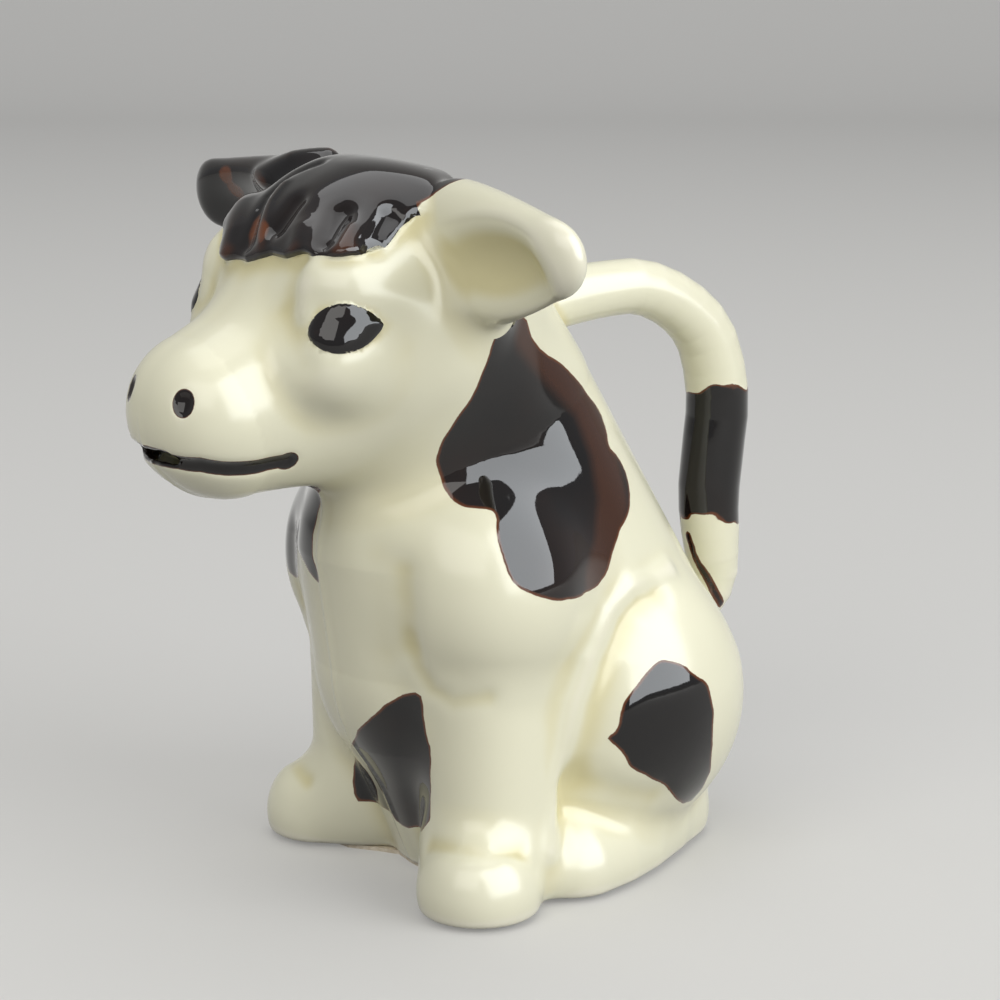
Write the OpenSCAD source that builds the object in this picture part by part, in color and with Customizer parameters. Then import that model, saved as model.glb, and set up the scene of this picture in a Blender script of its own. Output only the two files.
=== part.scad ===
// Cow creamer: a seated calf in slip-cast glazed earthenware, with its tail
// carried up as the handle. It stands on the table, looks along -Y, and has
// +Z up. The walls are hollow, it is filled at the crown behind the forelock,
// and it pours through the slit of the mouth.

/* [Body] */
// Width over the haunches
body_w = 75; // [71:1:79]
// Depth from the chest to the rump
body_d = 91; // [87:1:95]
// Height of the middle of the neck above the table
body_h = 92; // [89:1:95]
// Radius of the rump
rump_r = 33.5; // [32:0.5:35]
// Radius of the neck
neck_r = 24; // [23:0.5:25.5]
// Radius of the chest
chest_r = 24; // [23:0.5:25]
// Height of a shoulder
shoulder_h = 44; // [41:1:47]
// Width of a shoulder
shoulder_w = 37; // [34:1:39]
// Length of a haunch
haunch_l = 52; // [49:1:54]
// Width of a haunch
haunch_w = 37; // [34:1:39]
// Thickness of a foreleg
foreleg_d = 25; // [23:0.5:27]
// Thickness of the web between the forelegs
web_d = 37; // [35:0.5:39]
// Thickness of the base behind the legs
base_d = 30; // [28:0.5:32]
// Wall of the pot
wall = 4; // [3:0.25:4.75]
// Thickness of the floor
floor_t = 4.5; // [3.5:0.25:6]

/* [Foot ring] */
// Height of the bare clay ring that it stands on
ring_h = 0.8; // [0.5:0.1:1.5]
// Width of the ring
ring_w = 3.5; // [2.5:0.5:5]
// Distance of the ring from the outer edge of the base
ring_inset = 2; // [1.5:0.25:3]

/* [Head] */
// Height of the middle of the skull above the table
skull_z = 113; // [111:0.5:115]
// Distance of the middle of the skull in front of the rump's
skull_lead = 43; // [41:0.5:45]
// Width of the skull
skull_w = 56; // [53:0.5:59]
// Depth of the skull
skull_d = 60; // [57:0.5:63]
// Height of the skull
skull_h = 58; // [56:0.5:60]
// Distance of the muzzle in front of the middle of the skull
muzzle_l = 38; // [36:0.5:40]
// Thickness of the muzzle
muzzle_d = 30; // [28:0.5:32]
// Thickness of the chin
chin_d = 20; // [18:0.5:22]
// Size of a brow
brow_d = 17; // [15:0.5:19]

/* [Mouth and nostrils] */
// Height of the slit of the mouth
mouth_gap = 2.4; // [1.8:0.1:3.2]
// Depth of the lip line beside the slit
mouth_depth = 1.2; // [0.8:0.1:2]
// Width of the open slit that pours
pour_w = 14; // [10:0.5:17]
// Diameter of a nostril
nostril_d = 4; // [3:0.25:5]

/* [Filler opening] */
// Width of the opening at the crown
fill_w = 30; // [26:0.5:33]
// Length of the opening
fill_l = 24; // [20:0.5:26]

/* [Forelock] */
// Thickness of the forelock over the skull
lock_t = 1.6; // [1:0.1:2.2]
// Thickness of one lock of hair
lock_d = 7; // [6:0.25:8.5]

/* [Ears] */
// Length of an ear from its root to its tip
ear_l = 36.5; // [33:0.5:40]
// Height of an ear at its root
ear_h = 25; // [23:0.5:27]
// Height of an ear at its tip
ear_tip_h = 15.5; // [13:0.5:18]
// Thickness of an ear at its root
ear_t = 13; // [11:0.5:15]
// Depth of the hollow in an ear
ear_dish = 4.5; // [3:0.25:5.5]
// How much lower the left ear hangs than the right one
ear_droop = 3; // [0:0.5:4]

/* [Eyes] */
// Width of an eye
eye_w = 15; // [13:0.5:17]
// Height of an eye
eye_h = 9.6; // [8:0.2:11]
// Rise of an eye above the face
eye_rise = 0.7; // [0.4:0.1:1.2]

/* [Handle] */
// Thickness of the handle
handle_d = 13; // [11.5:0.5:14.5]
// Reach of the handle behind the middle of the rump
handle_reach = 45.5; // [43:0.5:49]
// Height of the upper bend of the handle above the table
handle_top = 118; // [115:0.5:120]
// Height of the lower root of the handle above the table
handle_low = 40; // [37:0.5:43]

/* [Feet] */
// Width of a forefoot
forefoot_w = 24; // [22:0.5:26]
// Height of a forefoot
forefoot_h = 16; // [14:0.5:18]
// Width of a hind foot
hindfoot_w = 22; // [20:0.5:24]
// Height of a hind foot
hindfoot_h = 16; // [14:0.5:17.5]

/* [Hidden] */

// ---- counts of facets ----
SEG = 60;
BODY_RINGS = 26;
HEAD_RINGS = 22;
INNER_RINGS = 9;
BALL = 20;
SOLVE_STEPS = 5;
// Width over which the left and right halves run into each other
seam_soft = 2;
// Near enough when a wall is solved for
fit_tol = 0.004;
// How far a cut runs past the face that it goes through
overrun = 1;

// ---- how far the clay members run into each other ----
chest_blend = 8;
web_blend = 9;
shoulder_blend = 8;
leg_blend = 5;
haunch_blend = 6;
base_blend = 5;
muzzle_blend = 8;
chin_blend = 6;
brow_blend = 8;
neck_blend = 10;

// ---- places ----
// Middle of the rump, so that muzzle and handle reach out alike
rump_y = (skull_lead + muzzle_l + muzzle_d / 2 - handle_reach) / 2;
head_y = rump_y - skull_lead;
neck_tilt = 28;

function body_at(s) = [s.x * body_w, rump_y + s.y * body_d, s.z * body_h];
function head_at(s) = [s.x * skull_w, head_y + s.y * skull_d, skull_z + s.z * skull_h];
function snout_at(s) = [0, head_y - s.x * muzzle_l, skull_z + s.y * skull_h];
function mix(a, b, t) = a + (b - a) * t;
function clamp(v, lo, hi) = max(lo, min(hi, v));

// Places of the members, as shares of the body's width, depth and height
rump_shares = [0, 0, 0.348];
neck_shares = [0, -0.264, 1];
chest_shares = [[0, -0.374, 0.717], [0, -0.374, 0.478]];
web_shares = [[0, -0.33, 0.348], [0, -0.264, 0.054]];
shoulder_shares = [0.24, -0.352, 0.663];
foreleg_shares = [[0.247, -0.363, 0.457], [0.26, -0.357, 0.076]];
haunch_shares = [0.253, -0.011, 0.37];
base_shares = [[0.133, -0.143, 0.054], [0.053, 0.143, 0.054]];
// Places on the head, as shares of the skull, and on the snout, as shares of
// the muzzle's length and the skull's height
muzzle_shares = [[1, -0.267], [0.316, -0.12]];
chin_shares = [[0.921, -0.371], [0.105, -0.241]];
brow_shares = [0.286, -0.3, 0.138];
cheek_shares = [0.304, -0.367, -0.086];
throat_shares = [0, -0.35, -0.741];

// ---- the skin, as a field that is below 0 inside the clay ----
function blend(a, b, k) = let (h = max(k - abs(a - b), 0)) min(a, b) - h * h / (4 * k);
function lobe(p, c, r) =
    let (q = p - c, n = norm([q.x / r.x, q.y / r.y, q.z / r.z]),
         m = norm([q.x / (r.x * r.x), q.y / (r.y * r.y), q.z / (r.z * r.z)]))
    m == 0 ? -min(r) : n * (n - 1) / m;
function limb(p, a, b, ra, rb) =
    let (q = p - a, e = b - a, t = clamp((q * e) / (e * e), 0, 1))
    norm(q - t * e) - (ra + (rb - ra) * t);
function fold(p) = [sqrt(p.x * p.x + seam_soft * seam_soft) - seam_soft, p.y, p.z];

rump_c = body_at(rump_shares);
neck_c = body_at(neck_shares);
chest_c = [for (s = chest_shares) body_at(s)];
web_c = [for (s = web_shares) body_at(s)];
shoulder_c = body_at(shoulder_shares);
foreleg_c = [for (s = foreleg_shares) body_at(s)];
haunch_c = body_at(haunch_shares);
base_c = [for (s = base_shares) body_at(s)];
skull_c = head_at([0, 0, 0]);
muzzle_c = [for (s = muzzle_shares) snout_at(s)];
chin_c = [for (s = chin_shares) snout_at(s)];
brow_c = head_at(brow_shares);
cheek_c = head_at(cheek_shares);
shoulder_r = [shoulder_w / 2, shoulder_w * 0.514, shoulder_h / 2];
haunch_r = [haunch_w / 2, haunch_l / 2, haunch_l / 2];
skull_r = [skull_w / 2, skull_d / 2, skull_h / 2];
brow_r = [brow_d / 2, brow_d * 0.53, brow_d * 0.47];
cheek_r = [brow_d * 0.47, brow_d * 0.53, brow_d * 0.47];

function torso(p) =
    let (q = fold(p),
         f1 = blend(limb(q, rump_c, neck_c, rump_r, neck_r),
                    limb(q, chest_c[0], chest_c[1], chest_r, chest_r * 0.875), chest_blend),
         f2 = blend(f1, limb(q, web_c[0], web_c[1], web_d / 2, web_d * 0.378), web_blend),
         f3 = blend(f2, lobe(q, shoulder_c, shoulder_r), shoulder_blend),
         f4 = blend(f3, limb(q, foreleg_c[0], foreleg_c[1], foreleg_d * 0.52, foreleg_d / 2), leg_blend),
         f5 = blend(f4, lobe(q, haunch_c, haunch_r), haunch_blend))
    blend(f5, limb(q, base_c[0], base_c[1], base_d * 0.433, base_d / 2), base_blend);
function head(p) =
    let (q = fold(p),
         f1 = blend(lobe(q, skull_c, skull_r),
                    limb(q, muzzle_c[0], muzzle_c[1], muzzle_d / 2, skull_w * 0.34), muzzle_blend),
         f2 = blend(f1, limb(q, chin_c[0], chin_c[1], chin_d / 2, skull_w * 0.33), chin_blend),
         f3 = blend(f2, lobe(q, brow_c, brow_r), brow_blend))
    blend(f3, lobe(q, cheek_c, cheek_r), chin_blend);
function skin(p) = blend(torso(p), head(p), neck_blend);
// The cavity follows the trunk and the head; the legs are filled
function trunk(p) =
    let (q = fold(p))
    blend(blend(blend(limb(q, rump_c, neck_c, rump_r, neck_r),
                      limb(q, chest_c[0], chest_c[1], chest_r, chest_r * 0.875), chest_blend),
                lobe(q, haunch_c, haunch_r), haunch_blend),
          limb(q, base_c[0], base_c[1], base_d * 0.433, base_d / 2), base_blend);
function lining(p) = blend(trunk(p), head(p), neck_blend) + wall;
function field(p, inner) = inner ? lining(p) : skin(p);

// Distance from c along d to the skin, or to the lining of the cavity
function secant(c, d, r0, f0, r1, f1, inner, n) =
    n == 0 || abs(f1) < fit_tol || f1 == f0 ? r1
    : let (r2 = r1 - clamp(f1 * (r1 - r0) / (f1 - f0), -wall, wall),
           f2 = field(c + d * r2, inner))
      secant(c, d, r1, f1, r2, f2, inner, n - 1);
function reach(c, d, r, inner, n = 4) =
    let (f = field(c + d * r, inner))
    n == 0 ? let (r2 = r - f) secant(c, d, r, f, r2, field(c + d * r2, inner), inner, SOLVE_STEPS)
    : reach(c, d, r - f, inner, n - 1);
function on_skin(c, d, r, inner = false) = c + d * reach(c, d, r, inner);
function unit(v) = v / norm(v);

// ---- rings of the torso, upright at the table and tilted at the neck ----
throat = head_at(throat_shares);
neck_dir = [0, cos(neck_tilt), sin(neck_tilt)];
neck_mid = throat + neck_dir * neck_r * 1.6;
base_mid = [0, rump_y - body_d * 0.143, ring_h];
function half_ring(c, up, r, inner) =
    [for (k = [0 : SEG / 2])
        let (a = -90 + 360 * k / SEG, d = [cos(a), up.y * sin(a), up.z * sin(a)])
        on_skin(c, abs(cos(a)) < fit_tol ? [0, d.y, d.z] : d, r, inner)];
function whole_ring(h) =
    concat(h, [for (k = [SEG / 2 - 1 : -1 : 1]) [-h[k].x, h[k].y, h[k].z]]);
function torso_ring(z0, s, inner) =
    let (c = mix([base_mid.x, inner ? rump_y : base_mid.y, z0], neck_mid, s), t = neck_tilt * pow(s, 1.6))
    whole_ring(half_ring(c, [0, cos(t), sin(t)], rump_r * 0.6, inner));
function torso_rings(z0, n, inner) = [for (j = [0 : n]) torso_ring(z0, j / n, inner)];
torso_outer = torso_rings(ring_h, BODY_RINGS, false);
torso_inner = torso_rings(ring_h + floor_t, INNER_RINGS, true);

// ---- rings of the head, fanned from the neck's joint to the brow ----
head_mid = head_at([0, -0.267, -0.12]);
brow_axis = unit(head_mid - neck_mid);
function slerp(a, b, t) =
    let (w = acos(clamp(a * b, -1, 1)))
    (a * sin((1 - t) * w) + b * sin(t * w)) / sin(w);
function head_ring(edge, t, inner) =
    whole_ring([for (k = [0 : SEG / 2])
        let (d = unit(slerp(brow_axis, unit(edge[k] - head_mid), t)))
        on_skin(head_mid, k == 0 || k == SEG / 2 ? unit([0, d.y, d.z]) : d, skull_d * 0.3, inner)]);
function head_rings(edge, n, inner) =
    concat([edge], [for (j = [n - 1 : -1 : 1]) head_ring(edge, j / n, inner)]);
head_outer = head_rings(torso_outer[BODY_RINGS], HEAD_RINGS, false);
head_inner = head_rings(torso_inner[INNER_RINGS], INNER_RINGS, true);

// ---- a closed skin over rings, with a tip or a flat face at each end ----
function flat_list(l) = [for (a = l) for (b = a) b];
function reversed(l) = [for (i = [len(l) - 1 : -1 : 0]) l[i]];
module skin_over(rings, tip0 = undef, tip1 = undef) {
    n = len(rings);
    body = flat_list(rings);
    pts = concat(body, [is_undef(tip0) ? rings[0][0] : tip0],
                 [is_undef(tip1) ? rings[n - 1][0] : tip1]);
    polyhedron(is_undef(tip0) && is_undef(tip1) ? body : is_undef(tip0) ? concat(body, [tip1]) : pts,
        concat(
            [for (i = [0 : n - 2]) for (k = [0 : SEG - 1])
                let (a = i * SEG + k, b = i * SEG + (k + 1) % SEG) [a, a + SEG, b]],
            [for (i = [0 : n - 2]) for (k = [0 : SEG - 1])
                let (a = i * SEG + k, b = i * SEG + (k + 1) % SEG) [b, a + SEG, b + SEG]],
            is_undef(tip0) ? [[for (k = [0 : SEG - 1]) k]]
                : [for (k = [0 : SEG - 1]) [n * SEG, k, (k + 1) % SEG]],
            is_undef(tip1) ? [[for (k = [SEG - 1 : -1 : 0]) (n - 1) * SEG + k]]
                : [for (k = [0 : SEG - 1])
                    [(is_undef(tip0) ? n * SEG : n * SEG + 1),
                     (n - 1) * SEG + (k + 1) % SEG, (n - 1) * SEG + k]]),
        convexity = 6);
}
module torso_solid() { skin_over(torso_outer); }
module head_solid() {
    skin_over(head_outer, tip1 = on_skin(head_mid, brow_axis, skull_d * 0.35));
}
// What is put on the pot is cut to the skin that it is luted to
module luted() {
    difference() {
        children();
        torso_solid();
        head_solid();
    }
}

// ---- the pot ----
module body_shell() {
    color("ivory") skin_over(concat(torso_outer, reversed(torso_inner)));
}
module foot_ring() {
    edge = [for (p = torso_outer[1]) let (c = base_mid, d = unit([p.x - c.x, p.y - c.y]),
            r = norm([p.x - c.x, p.y - c.y])) [c.x, c.y, r, d]];
    color("wheat") linear_extrude(ring_h) difference() {
        polygon([for (e = edge) [e[0], e[1]] + e[3] * (e[2] - ring_inset)]);
        polygon([for (e = edge) [e[0], e[1]] + e[3] * (e[2] - ring_inset - ring_w)]);
    }
}

// ---- head ----
mouth_turn_shares = [-1, -0.82, -0.62, -0.42, -0.21, 0, 0.21, 0.42, 0.62, 0.82, 1];
mouth_lift_shares = [-0.1, -0.16, -0.18, -0.17, -0.14, -0.12, -0.14, -0.17, -0.18, -0.16, -0.1];
mouth_half_turn = 112;
mouth_axis = mix(muzzle_c[0], chin_c[0], 0.85);
function mouth_pt(i, z) =
    let (a = mouth_half_turn * mouth_turn_shares[i],
         c = [0, mouth_axis.y, mouth_axis.z + (mouth_lift_shares[i] + z) * chin_d])
    on_skin(c, [sin(a), -cos(a), 0], chin_d * 0.4);
function nostril_pt(s) =
    on_skin(muzzle_c[0], unit([s * 0.56, -0.78, 0.28]), muzzle_d * 0.4);
fill_dir = unit([0, 1, 1]);
module mouth_line() {
    for (i = [0 : len(mouth_turn_shares) - 2]) hull() {
        translate(mouth_pt(i, 0)) sphere(mouth_depth, $fn = 12);
        translate(mouth_pt(i + 1, 0)) sphere(mouth_depth, $fn = 12);
    }
}
module pour_slit() {
    mid = mouth_pt(5, 0);
    hull() for (s = [-1, 1])
        translate([s * (pour_w - mouth_gap) / 2, mid.y - overrun, mid.z])
            rotate([-90, 0, 0]) cylinder(muzzle_d / 2, d = mouth_gap, $fn = BALL);
}
module filler() {
    hull() for (r = [0, skull_h])
        translate(skull_c + fill_dir * r) rotate([-45, 0, 0])
            scale([fill_w, fill_l, 1]) cylinder(overrun, d = 1, $fn = 44);
}
module head_shell() {
    color("ivory") difference() {
        skin_over(concat(reversed(head_inner), head_outer),
            tip0 = on_skin(head_mid, brow_axis, skull_d * 0.3, true),
            tip1 = on_skin(head_mid, brow_axis, skull_d * 0.35));
        mouth_line();
        pour_slit();
        filler();
        for (s = [-1, 1]) hull() {
            translate(nostril_pt(s)) sphere(nostril_d / 2, $fn = BALL);
            translate(nostril_pt(s) + [0, 0, nostril_d * 0.35]) sphere(nostril_d * 0.4, $fn = BALL);
        }
    }
}

// ---- forelock: a cap over the crown with locks of hair over its edge ----
lock_turn_shares = [-1, -0.68, -0.36, -0.04, 0.3, 0.64, 1];
lock_rise_shares = [1, 0.72, 0.42, 0.1];
lock_thin_shares = [0.4, 0.8, 0.82, 0.5];
lock_edge = 22;
lock_top = 84;
lock_half_turn = 66;
lock_front_share = 0.224;
function crown_dir(turn, rise) =
    [sin(turn) * cos(rise), -cos(turn) * cos(rise), sin(rise)];
module lock(turn, low) {
    pts = [for (s = lock_rise_shares) let (rise = mix(low, lock_top, s))
        on_skin(skull_c, crown_dir(turn * mix(1, 0.55, s), rise), skull_d * 0.45)
        + crown_dir(turn, rise) * (lock_t - lock_d * 0.3)];
    for (i = [0 : len(pts) - 2]) hull() for (j = [i, i + 1])
        translate(pts[j]) sphere(lock_d * lock_thin_shares[j], $fn = 16);
}
module forelock() {
    front = skull_c.z + skull_h * lock_front_share;
    color([0.09, 0.06, 0.05]) difference() {
        intersection() {
            union() {
                translate(skull_c) scale((skull_r + [lock_t, lock_t, lock_t]) / skull_h)
                    sphere(skull_h, $fn = 44);
                for (t = lock_turn_shares) lock(t * lock_half_turn, lock_edge + lock_edge * 0.22 * abs(t));
            }
            // It ends on the brow in front and rises past the ears to the crown
            translate([0, head_y + skull_d * 0.12, skull_c.z]) rotate([lock_side_tilt, 0, 0])
                translate([-skull_w, -skull_d * 2, skull_h * 0.36])
                    cube([skull_w * 2, skull_d * 4, skull_h]);
        }
        translate([-skull_w, head_y - skull_d, front - skull_h])
            cube([skull_w * 2, skull_d * 2, skull_h]);
        torso_solid();
        head_solid();
        left_ear_blank();
        right_ear_blank();
        filler();
    }
}
lock_side_tilt = 36;

// ---- ears ----
ear_root_shares = [0.43, 0.05, 0.255];
ear_out_shares = [1, -0.164, 0.088];
ear_turn = 12.4;
ear_nod = 7;
EAR_STEPS = 5;
module ear_blank(droop) {
    a = head_at(ear_root_shares);
    d = unit([ear_out_shares.x, ear_out_shares.y, ear_out_shares.z - droop / ear_l]);
    for (i = [0 : EAR_STEPS - 1]) hull() for (j = [i, i + 1]) let (t = j / EAR_STEPS)
        translate(a + d * ear_l * t) rotate([ear_nod, 0, ear_turn])
            scale([1, ear_t / ear_h, 1])
                sphere(d = mix(ear_h, ear_tip_h, pow(t, 1.3)), $fn = 28);
}
module ear_hollow(droop) {
    a = head_at(ear_root_shares);
    d = unit([ear_out_shares.x, ear_out_shares.y, ear_out_shares.z - droop / ear_l]);
    for (i = [0 : EAR_STEPS - 1]) hull() for (j = [i, i + 1])
        let (t = j / EAR_STEPS, h = mix(ear_h * 0.72, ear_tip_h * 0.55, t),
             thick = mix(ear_t, ear_t * ear_tip_h / ear_h, t), dish = mix(ear_dish, ear_dish * 0.4, t))
        translate(a + d * ear_l * mix(0.16, 0.86, t)) rotate([ear_nod, 0, ear_turn])
            translate([0, -thick / 2 + dish - h * 0.28, -h * 0.06])
                scale([1, 0.56, 1]) sphere(d = h, $fn = 24);
}
module left_ear_blank() { ear_blank(ear_droop / 2); }
module right_ear_blank() { mirror([1, 0, 0]) ear_blank(-ear_droop / 2); }
module left_ear() {
    color("ivory") luted() difference() {
        left_ear_blank();
        ear_hollow(ear_droop / 2);
    }
}
module right_ear() {
    color([0.09, 0.06, 0.05]) luted() difference() {
        right_ear_blank();
        mirror([1, 0, 0]) ear_hollow(-ear_droop / 2);
    }
}

// ---- eyes: almonds of black glaze, raised a little, pointed at the back ----
eye_at_shares = [0.366, -0.345, 0.017];
EYE_STEPS = 8;
eye_height_shares = [0.24, 0.74, 0.93, 1, 0.98, 0.88, 0.7, 0.42, 0.08];
module eye() {
    d0 = head_at(eye_at_shares) - skull_c;
    a0 = atan2(d0.x, -d0.y);
    r0 = norm([d0.x, d0.y]);
    turn = eye_w / r0 * 180 / PI;
    module bead(i) {
        a = a0 + turn * (i / EYE_STEPS - 0.5);
        for (s = [-0.5, 0, 0.5])
            translate(on_skin([skull_c.x, skull_c.y, skull_c.z + d0.z + s * (eye_h - eye_rise) * eye_height_shares[i]],
                [sin(a), -cos(a), 0], skull_d * 0.35))
                sphere(eye_rise, $fn = 12);
    }
    for (i = [0 : EYE_STEPS - 1]) hull() { bead(i); bead(i + 1); }
}
module left_eye() { color("black") luted() eye(); }
module right_eye() { color("black") luted() mirror([1, 0, 0]) eye(); }

// ---- handle: the tail, from the nape over and down to the rump ----
handle_back_shares = [-0.22, -0.05, 0.204, 0.472, 0.735, 0.915, 0.995, 0.975, 0.947, 0.97, 0.985, 0.84];
handle_up_shares = [0.975, 0.99, 1, 0.996, 0.93, 0.826, 0.662, 0.52, 0.367, 0.223, 0.1, -0.02];
handle_thick_shares = [0.97, 0.92, 0.87, 0.86, 0.9, 0.96, 1, 1, 0.985, 0.9, 0.7, 0.45];
HANDLE_STEPS = 22;
function curve(l, t) =
    let (n = len(l) - 1, i = min(floor(t * n), n - 1), u = t * n - i,
         a = l[max(i - 1, 0)], b = l[i], c = l[i + 1], d = l[min(i + 2, n)])
    b + 0.5 * u * (c - a + u * (2 * a - 5 * b + 4 * c - d + u * (3 * (b - c) + d - a)));
handle_high = handle_top - handle_d * 0.435;
function handle_pt(t) =
    [0, rump_y + curve(handle_back_shares, t) * (handle_reach - handle_d / 2),
     mix(handle_low, handle_high, curve(handle_up_shares, t))];
module handle() {
    color("ivory") luted() for (i = [0 : HANDLE_STEPS - 1]) hull() for (j = [i, i + 1])
        translate(handle_pt(j / HANDLE_STEPS))
            sphere(d = handle_d * curve(handle_thick_shares, j / HANDLE_STEPS), $fn = BALL);
}

// ---- feet ----
forefoot_shares = [[0.267, -0.385, 0.5], [0.353, -0.445, 0.02]];
hindfoot_shares = [[0.293, -0.203], [0.2, -0.05], [0.093, 0.154]];
FOOT_STEPS = 8;
module on_floor() {
    intersection() {
        children();
        translate([0, rump_y - body_d, ring_h]) cube([body_w, body_d * 2, body_h]);
    }
}
module forefoot() {
    a = body_at(forefoot_shares[0]);
    b = body_at(forefoot_shares[1]);
    on_floor() for (i = [0 : FOOT_STEPS - 1]) hull() for (j = [i, i + 1]) let (t = j / FOOT_STEPS)
        translate([mix(a.x, b.x, t), mix(a.y, b.y, t), ring_h + mix(forefoot_h * 0.55, forefoot_h - forefoot_w / 2, t)])
            sphere(d = forefoot_w, $fn = 32);
}
module hind_foot() {
    p = [for (s = hindfoot_shares) body_at([s.x, s.y, 0])];
    on_floor() for (i = [0 : FOOT_STEPS - 1]) hull() for (j = [i, i + 1])
        translate([curve([for (q = p) q.x], j / FOOT_STEPS), curve([for (q = p) q.y], j / FOOT_STEPS),
                   ring_h + hindfoot_h - hindfoot_w / 2])
            sphere(d = hindfoot_w, $fn = 32);
}
module left_forefoot() { color("ivory") foot_luted() forefoot(); }
module right_forefoot() { color("ivory") foot_luted() mirror([1, 0, 0]) forefoot(); }
module left_hind_foot() { color("ivory") foot_luted() hind_foot(); }
module right_hind_foot() { color("ivory") foot_luted() mirror([1, 0, 0]) hind_foot(); }
module foot_luted() {
    difference() {
        children();
        torso_solid();
    }
}

body_shell();
foot_ring();
head_shell();
forelock();
left_ear();
right_ear();
left_eye();
right_eye();
handle();
left_forefoot();
right_forefoot();
left_hind_foot();
right_hind_foot();
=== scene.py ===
# Cow creamer: glazed earthenware calf, built as one smooth skin of clay and
# then divided into its pieces. All sizes below are millimetres.
import bpy
import math
import numpy as np
from mathutils import Matrix, Vector


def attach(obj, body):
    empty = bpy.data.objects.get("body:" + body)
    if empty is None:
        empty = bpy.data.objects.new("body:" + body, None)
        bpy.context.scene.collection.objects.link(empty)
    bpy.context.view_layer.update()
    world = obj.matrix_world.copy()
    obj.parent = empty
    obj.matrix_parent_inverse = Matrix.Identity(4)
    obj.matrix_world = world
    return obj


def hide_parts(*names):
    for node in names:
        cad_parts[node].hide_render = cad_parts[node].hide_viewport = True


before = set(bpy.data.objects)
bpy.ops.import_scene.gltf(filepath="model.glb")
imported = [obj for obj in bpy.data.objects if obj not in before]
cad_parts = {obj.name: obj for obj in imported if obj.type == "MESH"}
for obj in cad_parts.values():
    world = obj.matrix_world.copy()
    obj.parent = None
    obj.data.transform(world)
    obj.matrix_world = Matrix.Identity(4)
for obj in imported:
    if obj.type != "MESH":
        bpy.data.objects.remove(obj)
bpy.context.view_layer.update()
print("frame loaded:", len(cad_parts), "nodes")

# The photograph's camera, also used to place marks on the glaze.
photoView = {
    "azimuth": 55.5, "elevation": 13.0,  # degrees
    "distance": 552.74,
    "target": (2.12, 7.72, 72.95),
    "focal": 2800.0,                     # in pixels of a 1000 x 1000 frame
}


def viewAxes():
    az, el = math.radians(photoView["azimuth"]), math.radians(photoView["elevation"])
    back = np.array([math.sin(az) * math.cos(el), -math.cos(az) * math.cos(el), math.sin(el)])
    right = np.array([math.cos(az), math.sin(az), 0.0])
    return right, np.cross(back, right), back


viewRight, viewUp, viewBack = viewAxes()
eyePoint = np.array(photoView["target"]) + viewBack * photoView["distance"]

# Shapes of clay, as distances that are negative inside.


def length(v):
    return np.sqrt(np.einsum("ij,ij->i", v, v))


def lobe(p, c, r):
    r = np.array(r, float)
    q = (p - np.array(c, float)) / r
    n = length(q)
    return n * (n - 1) / np.maximum(length(q / r), 1e-6)


def limb(p, a, b, ra, rb):
    a, b = np.array(a, float), np.array(b, float)
    q, e = p - a, b - a
    t = np.clip(q @ e / (e @ e), 0, 1)
    return length(q - t[:, None] * e) - (ra + (rb - ra) * t)


def chain(p, points, radii):
    d = limb(p, points[0], points[1], radii[0], radii[1])
    for i in range(1, len(points) - 1):
        d = np.minimum(d, limb(p, points[i], points[i + 1], radii[i], radii[i + 1]))
    return d


def melt(a, b, k):  # joins two shapes with a fillet k wide
    h = np.maximum(k - np.abs(a - b), 0)
    return np.minimum(a, b) - h * h / (4 * k)


def carve(a, b, k):  # takes b out of a, with an edge rounded by k
    return -melt(-a, b, k)


def close(p, centre, size, shape, far=20.0):  # works a shape out only near it
    inside = (np.abs(p - np.array(centre, float)) < np.array(size, float)).all(1)
    out = np.full(len(p), far)
    if inside.any():
        out[inside] = shape(p[inside])
    return out


def halves(p, soft=2.0):  # left and right halves run into each other softly
    q = p.copy()
    q[:, 0] = np.sqrt(p[:, 0] ** 2 + soft * soft) - soft
    return q


def build(q, parts):
    d = None
    for kind, args, k in parts.values():
        new = lobe(q, *args) if kind == "lobe" else limb(q, *args)
        d = new if d is None else melt(d, new, k)
    return d


# name: (shape, places and radii, width of the fillet to what is before it)
trunk = {
    "trunk": ("limb", ((0, 25.2, 32.0), (0, 1.2, 92.0), 33.5, 24.0), 0),
    "chest": ("limb", ((0, -8.8, 66.0), (0, -8.8, 44.0), 24.0, 21.0), 8),
    "web": ("limb", ((0, -4.8, 32.0), (0, 1.2, 5.0), 18.5, 14.0), 9),
    "shoulder": ("lobe", ((18.0, -6.8, 61.0), (18.5, 19.0, 22.0)), 8),
    "foreleg": ("limb", ((18.5, -7.8, 42.0), (19.5, -7.2, 7.0), 13.0, 12.5), 5),
    "haunch": ("lobe", ((19.0, 24.2, 34.0), (18.5, 26.0, 26.0)), 6),
    "base": ("limb", ((10.0, 12.2, 5.0), (4.0, 38.3, 5.0), 13.0, 15.0), 5),
}
hollow = {
    "trunk": trunk["trunk"],
    "chest": trunk["chest"],
    "haunch": trunk["haunch"],
    "base": trunk["base"],
}
head = {
    "skull": ("lobe", ((0, -17.75, 113.0), (28.0, 30.0, 29.0)), 0),
    "muzzle": ("limb", ((0, -54.9, 97.6), (0, -29.8, 106.0), 15.0, 19.0), 8),
    "chin": ("limb", ((0, -51.9, 92.6), (0, -21.7, 99.0), 9.8, 18.5), 6),
    "brow": ("lobe", ((16.0, -35.75, 121.0), (8.5, 9.0, 8.0)), 8),
    "cheek": ("lobe", ((17.0, -39.8, 108.0), (8.0, 9.0, 8.0)), 6),
}
crown = {"normal": (0, 0.264, 0.963), "height": 131.0, "rounding": 4.0}


def headShape(q):  # the crown slopes off towards the back
    above = q @ np.array(crown["normal"]) - crown["height"]
    return carve(build(q, head), -above, crown["rounding"])


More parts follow.
